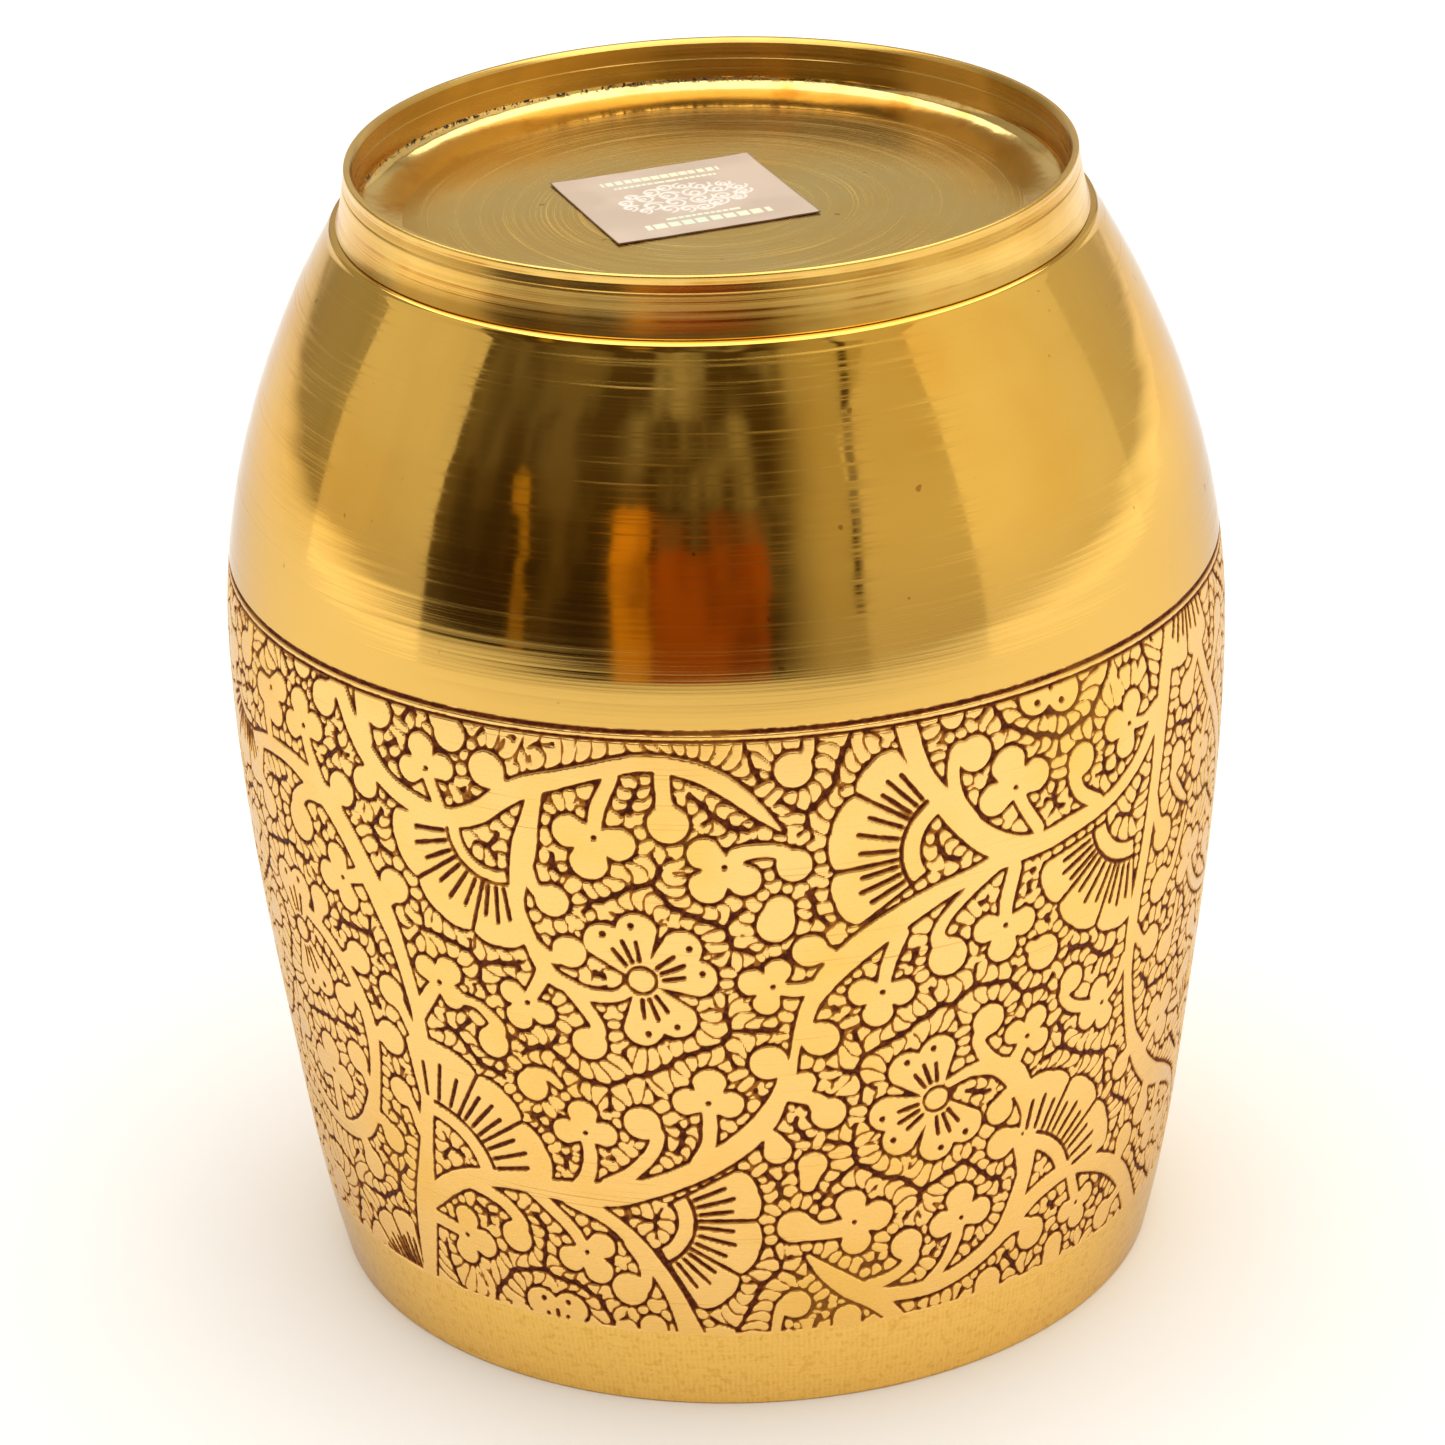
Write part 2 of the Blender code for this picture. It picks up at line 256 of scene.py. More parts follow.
# Bud: degrees, height and radius of its bulb, then its stem as for a vine
BUDS = (
    ((-41.9, 83.2, 1.9), (-43.6, 84.2, 0.9)),
    ((-44.2, 74.3, 1.8), (-43, 76, 0.9)),
    ((-50.9, 82.1, 2.0), (-49.2, 83.8, 0.9), (-48.4, 84.8, 0.8)),
    ((-55.2, 84.6, 1.6), (-55.2, 86, 1.2)),
    ((-48.3, 72.2, 2.0), (-49.8, 70.5, 1.0)),
    ((-31.9, 82.9, 1.9), (-33.8, 84.3, 0.7), (-33.9, 86.5, 0.8)),
    ((-27.3, 79.8, 2.1), (-25.6, 78.3, 0.9), (-24, 77.6, 0.8)),
    ((-20.3, 65.6, 1.9), (-22.3, 66.9, 0.7), (-23.1, 69.3, 0.8)),
    ((-18.7, 59.6, 1.9), (-20.6, 58.5, 0.6), (-22.7, 60.2, 0.5)),
    ((-17.2, 48.3, 2.0), (-16.0, 50.3, 0.8), (-17.1, 52.5, 0.8), (-19, 55, 0.8)),
    ((-57.3, 65.3, 2.4), (-57.6, 67.6, 1.1), (-55.5, 69.4, 0.9), (-52.5, 69.8, 0.9)),
    ((-41.0, 62.8, 2.0), (-42.6, 60.8, 1.0)),
    ((-55.5, 56, 1.8), (-56.5, 53.5, 0.8)),
    ((-49, 51.2, 2.0), (-50.9, 50.4, 0.9), (-52.3, 49.6, 0.8)),
    ((-43.8, 48.8, 1.9), (-42.2, 46.6, 0.8), (-40.6, 43, 0.8)),
    ((-7, 75.6, 2.2), (-7.4, 78.6, 0.8), (-7.5, 81, 0.8)),
    ((6.5, 81.3, 2.0), (8.2, 83.3, 0.6), (8.3, 87, 0.6)),
    ((6.3, 70.4, 1.9), (4.8, 72.1, 0.8), (2.5, 72.4, 0.8), (0.2, 72, 0.9)),
    ((4.1, 63.4, 2.0), (4.6, 65.4, 1.5)),
    ((7.8, 60, 1.9), (9.8, 59.2, 0.9)),
    ((8.9, 48.9, 2.1), (7.3, 51, 0.7), (8.2, 54, 0.8)),
    ((9.8, 39.2, 2.0), (8, 41.2, 0.9), (6.2, 41.8, 0.8), (5.2, 41.9, 0.6)),
    ((7.0, 43.6, 1.3), (6.9, 42, 0.8)),
    ((3.8, 34.8, 1.6), (3.2, 36.6, 0.9), (1.8, 37.6, 0.7)),
    ((7.9, 32.6, 1.7), (7.3, 30, 0.9)),
    ((19.8, 20, 2.0), (20.4, 17.6, 0.9), (17.8, 15.9, 0.8), (14, 15.2, 0.8)),
    ((5.7, 24.6, 2.1), (8.5, 23.6, 1.1), (12, 23.6, 1.1)),
    ((32.3, 30, 2.0), (34.2, 30.6, 0.8), (35.2, 28.2, 0.7), (35.9, 25.5, 0.8)),
    ((31.7, 34.6, 1.8), (32.4, 36.3, 0.8), (34.6, 36.6, 0.8)),
    ((29.3, 47, 2.0), (28.1, 44.6, 0.8), (29.4, 42.2, 0.9), (31, 40.8, 0.9)),
    ((56.2, 21.3, 1.9), (55, 18.9, 0.9)),
    ((60.2, 23.4, 2.0), (60.6, 26.3, 0.9)),
    ((38.4, 15.9, 2.1), (37, 17.7, 0.8), (34.6, 17.6, 0.7)),
    ((42.9, 12.6, 1.6), (42.9, 9.5, 1.5)),
    ((32, 11.4, 1.9), (32, 9.5, 1.9)),
    ((53.2, 12.4, 1.9), (55.4, 13.6, 0.7), (57.5, 14.5, 0.7)),
    ((27, 79.8, 2.0), (24.9, 80.6, 0.8), (24.3, 78, 0.7), (24.9, 75, 0.7), (26.6, 72, 0.8)),
    ((41.4, 75, 1.9), (40.4, 73.2, 0.9), (41.4, 71, 0.8), (44, 69.2, 0.8)),
    ((24.5, 84.4, 1.3), (24.5, 86, 1.2)),
    ((23.7, 56.5, 2.3), (22.4, 59.4, 0.8), (23.7, 61.7, 0.7), (26.7, 64.2, 0.7), (30, 66.4, 0.9)),
    ((36.5, 53.3, 2.1), (34.6, 54.6, 0.7)),
    ((41.3, 48.2, 1.7), (40.2, 46.4, 0.7), (41.8, 44.6, 0.7), (44.5, 43.6, 0.7), (46.5, 43.3, 0.7)),
    ((52.9, 32.3, 1.7), (54.8, 34.3, 0.7)),
    ((57.3, 60, 2.0), (55.8, 62.4, 0.7), (55, 65.5, 0.6)),
    ((57.6, 53.5, 2.1), (60.4, 54.2, 0.7), (62, 57, 0.6), (63.5, 60.5, 0.4)),
    ((56.6, 46.8, 2.0), (54.3, 47.8, 0.7), (52.6, 50, 0.8)),
    ((61, 44.3, 2.0), (63, 46.5, 0.7), (63.5, 49.5, 0.4)),
    ((60.3, 68.3, 1.7), (59.2, 66.2, 0.7), (61, 63.7, 0.7), (63, 62, 0.4)),
    ((-45.2, 42.3, 2.1), (-47.4, 42, 0.9)),
    ((-45, 35.3, 1.8), (-43.4, 34, 0.8), (-42.5, 31, 0.8)),
    ((-53.4, 44.3, 1.9), (-51.3, 45.8, 0.7), (-50.2, 44.6, 0.7)),
    ((-53, 36.8, 2.0), (-51.8, 35, 0.8), (-51, 33, 0.8)),
    ((-48.2, 28, 1.9), (-49.8, 29.7, 0.9), (-52, 29.7, 0.9)),
    ((-54, 22.3, 2.0), (-55.2, 24.8, 0.9)),
    ((-29.7, 20.5, 2.0), (-28.9, 22.8, 0.9), (-31, 24.9, 0.9), (-34, 25.9, 0.8), (-37, 26.3, 0.8)),
    ((-24.8, 41.7, 1.9), (-24.6, 43.2, 0.9), (-22.8, 43.4, 0.7), (-21.3, 42.2, 0.4)),
    ((-11.8, 38.5, 2.1), (-10.1, 36.8, 0.8), (-11.1, 34.3, 0.8), (-13.6, 31.7, 0.8), (-16.5, 30, 0.8)),
    ((-29.3, 46.3, 1.9), (-28.6, 48.7, 0.9), (-30.8, 50.7, 0.6), (-33.6, 51, 0.7)),
    ((-15, 15.9, 2.2), (-12.9, 16.6, 0.7), (-12.9, 19.5, 0.7), (-14.4, 22.2, 0.8)),
    ((-12.4, 10.8, 1.7), (-12.4, 9.4, 1.7)),
    ((5.7, 14, 1.9), (4, 14, 0.7), (3.3, 11.5, 0.6), (3.1, 9.2, 0.6)),
    ((12.3, 11.3, 1.8), (12.3, 9.5, 1.8)),
    ((3, 46.4, 2.1), (4.4, 45.2, 0.8)),
    ((-66, 64, 1.9), (-68, 67, 0.8), (-67, 70.5, 0.8)),
    ((-68, 35, 1.9), (-70, 33, 0.7), (-70.5, 30.5, 0.5)),
    ((74, 52, 2.0), (76, 49, 0.8), (78.6, 47, 0.8)),
    ((83, 51, 1.9), (81, 53.5, 0.8), (79.3, 55.5, 0.7)),
    ((71, 43, 2.0), (73.5, 40.5, 0.8), (76, 39.5, 0.8)),
    ((69, 17, 1.9), (71, 19.5, 0.7), (73.8, 19.6, 0.6)),
    ((88, 79, 2.0), (90.5, 76, 0.8), (90, 71.5, 0.8)),
    ((75, 79, 2.0), (73, 76.3, 0.8), (70.3, 73.2, 0.8)),
    ((62.5, 75.5, 1.9), (64.5, 77.5, 0.8), (66.3, 79.5, 0.8)),
    ((-70.5, 80.8, 2.0), (-69, 83, 0.8), (-69.3, 86.5, 0.8)),
    ((-86, 81.5, 2.0), (-84, 83.5, 0.8), (-83.8, 86.5, 0.8)),
    ((-71, 48.5, 2.0), (-73.5, 47, 0.8), (-76, 49, 0.7)),
    ((-88.5, 42, 2.2), (-87, 45, 0.9), (-84.5, 46.5, 0.7)),
    ((-75.5, 13.5, 2.0), (-77.5, 11.5, 0.8), (-78, 9, 0.8)),
)

# Three-lobed flower: degrees, height, turn of its stem, size, then the stem from the flower
FLOWERS = (
    (-24.3, 52.4, 60, 0.95, (-22.6, 55.2, 0.8), (-21.9, 56.5, 0.9)),
    (-35.1, 78.4, -75, 1.0, (-34.2, 76, 0.7), (-33.3, 74, 0.7)),
    (-49.8, 61.0, 15, 1.1, (-46.5, 62.3, 0.9)),
    (-55.0, 77.5, -75, 1.05, (-54, 74.6, 0.9), (-52.3, 71.5, 1.0)),
    (-35.9, 52.3, -130, 1.0, (-37.6, 50.2, 0.9), (-39.5, 47.3, 0.8)),
    (-15.2, 73.6, 78, 1.25, (-14.6, 77, 0.8), (-13, 80.6, 0.7)),
    (-1.2, 70.6, 52, 1.2, (0.5, 72, 0.9)),
    (15.9, 53.7, 80, 1.05, (16.6, 57, 0.8), (18, 60.5, 0.9)),
    (3.6, 55.9, -18, 0.95, (6, 55.3, 0.8), (8, 55.5, 0.8)),
    (12.9, 24.3, -172, 1.2, (10, 23.8, 0.9)),
    (34.9, 43.2, -120, 0.95, (33.6, 41, 0.9)),
    (27.1, 21.7, -85, 1.15, (26.4, 18.6, 0.8), (25, 16, 0.7), (23, 14, 0.7)),
    (46.4, 16.9, 105, 0.9, (45.5, 19.3, 0.8), (44.6, 21.6, 0.7)),
    (32, 74.6, -75, 1.25, (33.1, 72.2, 0.7), (35.2, 68.8, 0.7)),
    (49.4, 76.4, -15, 1.05, (52.2, 75.8, 0.6), (54.8, 76.6, 0.7)),
    (30.9, 58.4, 85, 1.1, (31.1, 61.5, 0.9), (32, 65, 0.9)),
    (47.1, 43.0, 20, 1.0, (49.6, 44.8, 0.7), (50.9, 47.3, 0.7)),
    (61.8, 34.5, -140, 1.15, (59.8, 33.3, 0.9), (58, 32, 0.9)),
    (-60.2, 32.2, -95, 1.25, (-60.4, 28.6, 0.9), (-60.5, 25.6, 0.9)),
    (-37.6, 18.6, 170, 1.1, (-40.5, 19.2, 0.9), (-43.5, 19.5, 0.9)),
    (-20.2, 20.3, 120, 1.1, (-21.8, 23.2, 0.8), (-24.2, 25.5, 0.8), (-26.5, 27.4, 0.8)),
    (-18.8, 36.5, -88, 1.05, (-18.4, 33.6, 0.8), (-19, 30.8, 0.9), (-20.3, 29, 0.9)),
    (-4, 41.4, -95, 1.1, (-3.9, 38.5, 0.8), (-4.2, 36, 0.8), (-5.5, 33.6, 0.8)),
    (66, 53.5, -60, 1.05, (68, 50, 0.8), (72, 47, 0.7), (78, 45.5, 0.7)),
    (67.5, 66.5, 60, 0.95, (69.3, 69.5, 0.7), (71, 71, 0.7)),
    (85, 71.5, -50, 1.05, (87.5, 68.8, 0.7), (89, 68, 0.7)),
    (94, 52, -60, 1.2, (97, 48, 0.8), (100, 42, 0.8), (97, 36, 0.8), (92, 30.5, 0.8)),
    (92.5, 19.5, 100, 1.1, (92, 23, 0.8), (91, 27, 0.8), (90.5, 30, 0.8)),
    (64.5, 20, 75, 0.95, (65.4, 23, 0.7), (65.5, 25, 0.7)),
    (-62.5, 79.3, 110, 1.1, (-63.8, 76.5, 0.8), (-63.5, 73.5, 0.7)),
    (-78.5, 79.6, 70, 1.15, (-77, 76.5, 0.8), (-77.5, 74.5, 0.7)),
    (-75, 56.5, -30, 1.15, (-78.5, 57.5, 0.8), (-81, 54.5, 0.8), (-81.5, 50, 0.7)),
    (-76, 41, -140, 1.2, (-79.5, 41.5, 0.8), (-82, 38, 0.7)),
    (-68.5, 15.5, 75, 1.15, (-70, 12.5, 0.8), (-70.5, 9, 0.8)),
    (-80.5, 21, 20, 1.1, (-77.5, 23.5, 0.8), (-76, 26.5, 0.7)),
)

# Large flower: degrees, height and radius of its heart, then the ways its petals point
LARGE_FLOWERS = (
    ((-10.7, 56.8), 1.5, (112, 23, -72)),
    ((22.9, 38.6), 1.45, (110, 205, -68)),
    ((-61.5, 50.0), 1.4, (95, -73)),
    ((38.2, 89.4), 1.3, (-100,)),
    ((-25.3, 6.2), 1.2, (90,)),
    ((84, 90), 1.4, (-110, -60)),
)

# Fan: its centre, edges of its lobes in degrees, radii of the lobes, radii of its plain band
FANS = (
    ((-26.8, 72.3), (178, 216, 254, 284), (5.9, 13.2), (4.2, 5.5)),
    ((-40.5, 27), (97, 60.5, 35.5, 8), (9.2, 17.1), (6.9, 8.7)),
    ((-12.8, 25.8), (30, 0, -33, -62), (6.7, 14.2), (4.5, 6.2)),
    ((25, 70), (120, 146, 184, 213), (7.0, 14.6), (4.7, 6.5)),
    ((50.5, 67), (191, 215, 247, 273), (7.3, 15.0), (5.0, 6.8)),
    ((34, 20), (85, 60, 35.5, 9), (10.6, 17.7), (8.3, 10.1)),
    ((-47, 4.2), (92, 113, 134, 156), (5.5, 13.4), None),
    ((63.5, 94), (245, 268, 292), (8.5, 15.2), None),
    ((75, 26), (125, 98, 70), (6.6, 13.0), (4.6, 6.1)),
    ((99, 57), (60, 90, 125), (6.6, 12.5), (4.5, 6.1)),
    ((84, 6), (60, 35, 10), (8.0, 15.0), (5.8, 7.4)),
    ((-71, 76), (200, 232, 262, 290), (4.6, 11.0), (3.0, 4.1)),
)

grid_x = (np.arange(COLUMNS) + 0.5) * CELL + LEFT
grid_y = (np.arange(ROWS) + 0.5) * CELL + LEAF_LOW
motif_field = np.full((ROWS, COLUMNS), EMPTY)  # distance to the nearest motif, inside below 0
cut_field = np.full((ROWS, COLUMNS), EMPTY)  # distance to the nearest slot or dot cut in a motif


def patch(x0, x1, y0, y1):
    """Return an index of the grid round a box, wrapped round the pot, and its x and y."""
    columns = np.arange(math.floor((x0 - grid_x[0]) / CELL), math.ceil((x1 - grid_x[0]) / CELL) + 1)
    first = max(0, int((y0 - grid_y[0]) / CELL))
    last = max(first, min(ROWS, int((y1 - grid_y[0]) / CELL) + 2))
    rows = np.arange(first, last)
    here = np.ix_(rows, columns % COLUMNS)
    return here, columns[None, :] * CELL + grid_x[0], grid_y[rows][:, None]


def add_capsule(field, start, end, reach=FAR):
    """Add a tapered bar with round ends, each end given as x, y and radius."""
    x0, y0, r0 = start
    x1, y1, r1 = end
    grow = max(r0, r1) + reach
    here, x, y = patch(min(x0, x1) - grow, max(x0, x1) + grow, min(y0, y1) - grow, max(y0, y1) + grow)
    dx = x1 - x0
    dy = y1 - y0
    along = np.clip(((x - x0) * dx + (y - y0) * dy) / (dx * dx + dy * dy + 1e-9), 0, 1)
    distance = np.hypot(x - x0 - along * dx, y - y0 - along * dy) - (r0 + (r1 - r0) * along)
    field[here] = np.minimum(field[here], distance)


def smooth_path(points):
    """Return points along a smooth curve through the given ones."""
    p = np.array(points, float)
    if len(p) < 3:
        return p
    p = np.vstack([2 * p[0] - p[1], p, 2 * p[-1] - p[-2]])
    path = []
    for a, b, c, d in zip(p, p[1:], p[2:], p[3:]):
        for k in range(CURVE_PIECES):
            t = k / CURVE_PIECES
            path.append(
                b + (c - a) * t / 2 + (2 * a - 5 * b + 4 * c - d) * t * t / 2
                + (3 * b - a - 3 * c + d) * t**3 / 2
            )
    path.append(p[-2])
    return np.array(path)


def add_stroke(points):
    """Add a vine or a stem through points given as degrees, height and half width."""
    path = smooth_path([(degrees * PER_DEGREE, height, half) for degrees, height, half in points])
    for start, end in zip(path, path[1:]):
        add_capsule(motif_field, start, end)


def polar(centre, radius, degrees):
    """Return the point at a radius and a direction from a centre, both in millimetres."""
    angle = math.radians(degrees)
    return centre[0] + radius * math.cos(angle), centre[1] + radius * math.sin(angle)


def add_cut(start, end, radius):
    """Cut a slot or, where start is end, a dot."""
    add_capsule(cut_field, (*start, radius), (*end, radius), SLOT_REACH)


def add_bud(bulb, *stem):
    """Add a round bud whose stem leaves it in a curl."""
    degrees, height, radius = bulb
    centre = (degrees * PER_DEGREE, height, radius)
    add_capsule(motif_field, centre, centre)
    neck = [b + (s - b) * NECK_SHARE for b, s in zip(bulb[:2], stem[0][:2])]
    add_stroke(((*neck, min(radius, stem[0][2] * NECK_SWELL)), *stem))


def add_flower(degrees, height, turn, size, *stem):
    """Add a small flower: three lobes round a dot, and a stem on the fourth side."""
    centre = (degrees * PER_DEGREE, height)
    for way, reach, radius in LOBES:
        tip = polar(centre, reach * size, turn + way)
        add_capsule(motif_field, (*centre, LOBE_ROOT * size), (*tip, radius * size))
    add_stroke(((degrees, height, STEM_ROOT), *stem))
    add_cut(centre, (centre[0] + 0.12, centre[1]), FLOWER_DOT)


def add_large_flower(place, heart, petals):
    """Add a large flower: a round heart and two-lobed petals with dots and slots."""
    centre = (place[0] * PER_DEGREE, place[1])
    for petal in petals:
        for side in (-1, 1):
            tip = polar(centre, PETAL_TIP, petal + side * PETAL_SPREAD)
            base = polar(centre, PETAL_ROOT, petal + side * PETAL_SPREAD)
            add_capsule(motif_field, (*base, PETAL_ROOT_HALF), (*tip, PETAL_TIP_HALF))
            dot = polar(centre, DOT_PLACE, petal + side * DOT_SPREAD)
            add_cut(dot, dot, DOT_RADIUS)
        for side in (-1, 0, 1):
            start = polar(centre, heart + 0.9, petal + side * 20)
            end = polar(centre, 5.1 - 0.4 * abs(side), petal + side * 17)
            add_cut(start, end, SLOT_HALF)
    add_capsule(motif_field, (*centre, heart + 0.3), (*centre, heart + 0.3))
    for way in range(0, 360, HEART_STEP):
        start = polar(centre, heart + 0.12, way)
        end = polar(centre, heart + 0.12, way + HEART_STEP)
        add_cut(start, end, HEART_LINE_HALF)


def add_fan(place, edges, lobes, band):
    """Add a fan: lobes with a double scallop, slots between them, and a plain band inside."""
    centre = (place[0] * PER_DEGREE, place[1])
    inner, outer = lobes
    reach = outer + FAR
    here, x, y = patch(centre[0] - reach, centre[0] + reach, centre[1] - reach, centre[1] + reach)
    radius = np.hypot(x - centre[0], y - centre[1])
    edges = sorted(edges)
    middle = (edges[0] + edges[-1]) / 2
    turn = np.degrees(np.arctan2(y - centre[1], x - centre[0]))
    turn = (turn - middle + 180) % 360 - 180 + middle
    rim = np.full_like(radius, outer - RIM_INSET)
    for low, high in zip(edges, edges[1:]):
        share = np.clip((turn - low) / (high - low), 0, 1)
        scallop = np.sin(share * math.pi) ** 0.45 * SCALLOP
        double = SCALLOP_PAIR * np.abs(np.cos(share * math.pi)) ** 0.5 * np.sin(share * math.pi)
        rim += np.where((turn >= low) & (turn <= high), scallop + double, 0)
    side = np.maximum(edges[0] - turn, turn - edges[-1]) * math.pi / 180 * np.maximum(radius, CELL)
    distance = np.maximum(np.maximum(radius - rim, inner - radius), side)
    if band:
        strip = np.maximum(np.maximum(radius - band[1], band[0] - radius), side)
        distance = np.minimum(distance, strip)
    motif_field[here] = np.minimum(motif_field[here], distance)
    for low, high in zip(edges, edges[1:]):
        for share in SLOT_SHARES:
            way = low + (high - low) * share
            tip = outer - SLOT_SHORT - abs(2 * share - 1)
            add_cut(polar(centre, inner + 0.4, way), polar(centre, tip, way), SLOT_HALF)
    for way in edges[1:-1]:
        add_cut(polar(centre, inner + 0.2, way), polar(centre, outer, way), LOBE_GAP_HALF)


def blur(field, sigma):
    """Blur a grid that wraps round the pot; sigma is in millimetres."""
    half = math.ceil(3 * sigma / CELL)
    weights = np.exp(-0.5 * (np.arange(-half, half + 1) * CELL / sigma) ** 2)
    weights /= weights.sum()
    wide = sum(w * np.roll(field, k - half, 1) for k, w in enumerate(weights))
    tall = np.pad(wide, ((half, half), (0, 0)), mode="edge")
    return sum(w * tall[k : k + field.shape[0]] for k, w in enumerate(weights))


def slopes(field):
    """Return a field's slope along x, which wraps, and along y."""
    along_x = (np.roll(field, -1, 1) - np.roll(field, 1, 1)) / (2 * CELL)
    return along_x, np.gradient(field, CELL, axis=0)


def between_cells(field, rows, left, right, u, v):
    """Read a grid between whole rows and pairs of columns, at shares u and v of the way."""
    low = field[rows][:, left] * (1 - u) + field[rows][:, right] * u
    high = field[rows + 1][:, left] * (1 - u) + field[rows + 1][:, right] * u
    return low * (1 - v) + high * v


def smooth_noise(random, size):
    """Return even noise of about -1 to 1 on the grid, with blotches of the given size."""
    wide = max(4, round(COLUMNS * CELL / size))
    tall = max(4, round(ROWS * CELL / size) + 3)
    coarse = random.normal(0, 1, (tall, wide))
    i = np.arange(COLUMNS) * wide / COLUMNS
    j = np.linspace(0.5, tall - 2.5, ROWS)
    i0 = i.astype(int)
    j0 = j.astype(int)
    u = i - i0
    v = (j - j0)[:, None]
    u = u * u * (3 - 2 * u)
    v = v * v * (3 - 2 * v)
    return between_cells(coarse, j0, i0, (i0 + 1) % wide, u, v)


def rounded(first, second, radius):
    """Return the overlap of two shapes, given as depths inside them, with rounded corners."""
    return radius - np.hypot(np.maximum(radius - first, 0), np.maximum(radius - second, 0))


class ScaleRows:
    """Lines up rows of scales between the motifs' edges and the ridges midway between them."""

    def __init__(self, random):
        self.random = random
        slope_x, slope_y = slopes(motif_field)
        steep = np.hypot(slope_x, slope_y) + 1e-6
        self.way_x = slope_x / steep
        self.way_y = slope_y / steep
        ridge = self.ridge_distance()
        self.room = ridge - GROOVE
        room = np.maximum(self.room, LEAST_ROOM)
        count = np.maximum(1, np.round(room / SCALE_ROW))
        height = room / count
        inside = motif_field - GROOVE
        row = np.clip(np.floor(inside / height), 0, count - 1)
        across = inside / height - row - 0.5
        narrow = room < NARROW_ROOM
        middle = np.where(narrow, ridge, GROOVE + height * (row + 0.5))
        self.shift = middle - motif_field
        outer = (0.5 - across) * height - np.where(row == count - 1, RIDGE_HALF, ROW_HALF)
        inner = (0.5 + across) * height - np.where(row == 0, 0, ROW_HALF)
        self.ends = np.where(narrow, room, np.minimum(outer, inner))
        bend = ROW_BEND * np.tanh(2.5 * smooth_noise(random, BEND_PATCH)) * (2 * across) ** 2
        lean = ROW_LEAN * np.clip(smooth_noise(random, LEAN_PATCH), -1, 1) * across * height
        along = np.where(narrow, 0, bend + lean)
        self.move_x = self.way_x * self.shift - self.way_y * along
        self.move_y = self.way_y * self.shift + self.way_x * along
        self.seeds = []
        self.bins = {}
        self.width = COLUMNS * CELL

    def ridge_distance(self):
        """Return the motifs' distance at the end of each point's way out from its motif."""
        ridge = motif_field.copy()
        going = np.ones(ridge.shape, bool)
        columns = np.arange(COLUMNS)[None, :]
        rows = np.arange(ROWS)[:, None]
        for step in range(1, RIDGE_STEPS + 1):
            t = step * RIDGE_STEP
            i = np.rint(columns + self.way_x * t / CELL).astype(int) % COLUMNS
            j = np.clip(np.rint(rows + self.way_y * t / CELL).astype(int), 0, ROWS - 1)
            there = motif_field[j, i]
            going &= there > motif_field + 0.85 * t - 0.1
            ridge = np.where(going, np.maximum(ridge, there), ridge)
        return ridge

    def cell(self, x, y):
        """Return the grid's row and column nearest to a point."""
        column = int(round((x - grid_x[0]) / CELL)) % COLUMNS
        return min(max(int(round((y - grid_y[0]) / CELL)), 0), ROWS - 1), column

    def bin_of(self, x, y):
        return int((x - grid_x[0]) % self.width), int(y)

    def crowded(self, x, y, clear):
        """Tell whether a scale's centre already lies nearer than clear."""
        column, row = self.bin_of(x, y)
        for i in (-2, -1, 0, 1, 2):
            for j in (-2, -1, 0, 1, 2):
                key = ((column + i) % int(self.width), row + j)
                for px, py in self.bins.get(key, ()):
                    dx = abs(px - x) % self.width
                    dx = min(dx, self.width - dx)
                    if dx * dx + (py - y) ** 2 < clear * clear:
                        return True
        return False

    def add(self, x, y):
        self.bins.setdefault(self.bin_of(x, y), []).append((x, y))
        self.seeds.append((x, y))

    def walk(self, x, y, sense):
        """Drop seeds along the middle of a row until it ends or meets others."""
        while True:
            step = self.random.uniform(*SCALE_STEP)
            for _ in range(WALK_PARTS):
                here = self.cell(x, y)
                x -= sense * self.way_y[here] * step / WALK_PARTS
                y += sense * self.way_x[here] * step / WALK_PARTS
                here = self.cell(x, y)
                shift = self.shift[here]
                if abs(shift) > ROW_LOST or not grid_y[0] - 0.5 < y < grid_y[-1] + 0.5:
                    return
                x += self.way_x[here] * shift
                y += self.way_y[here] * shift
            if self.crowded(x, y, WALK_CLEAR):
                return
            self.add(x, y)

    def fill(self):
        """Place the centre of every scale."""
        rows, columns = np.where((np.abs(self.shift) < START_NEAR) & (self.room > START_ROOM))
        for pick in self.random.permutation(len(rows)):
            x = grid_x[columns[pick]]
            y = grid_y[rows[pick]]
            if self.crowded(x, y, START_CLEAR):
                continue
            self.add(x, y)
            self.walk(x, y, 1)
            self.walk(x, y, -1)

    def lands(self):
        """Return how far inside its own scale each point of the grid lies."""
        nearest = np.full((ROWS, COLUMNS), FAR)
        second = np.full((ROWS, COLUMNS), FAR)
        reach = SCALE_SEARCH
        for x, y in self.seeds:
            here, grid_u, grid_v = patch(x - reach, x + reach, y - reach, y + reach)
            distance = np.hypot(grid_u + self.move_x[here] - x, grid_v + self.move_y[here] - y)
            old = nearest[here]
            second[here] = np.minimum(second[here], np.maximum(old, distance))
            nearest[here] = np.minimum(old, distance)
        gap = second - nearest
        slope_x, slope_y = slopes(gap)
        steep = np.maximum(blur(np.hypot(slope_x, slope_y), 0.15), LEAST_SLOPE)
        sides = np.minimum(gap / steep - SCALE_GAP, (SCALE_LENGTH - nearest) * 0.8)
        return rounded(sides, np.minimum(self.ends, motif_field - GROOVE), SCALE_CORNER)


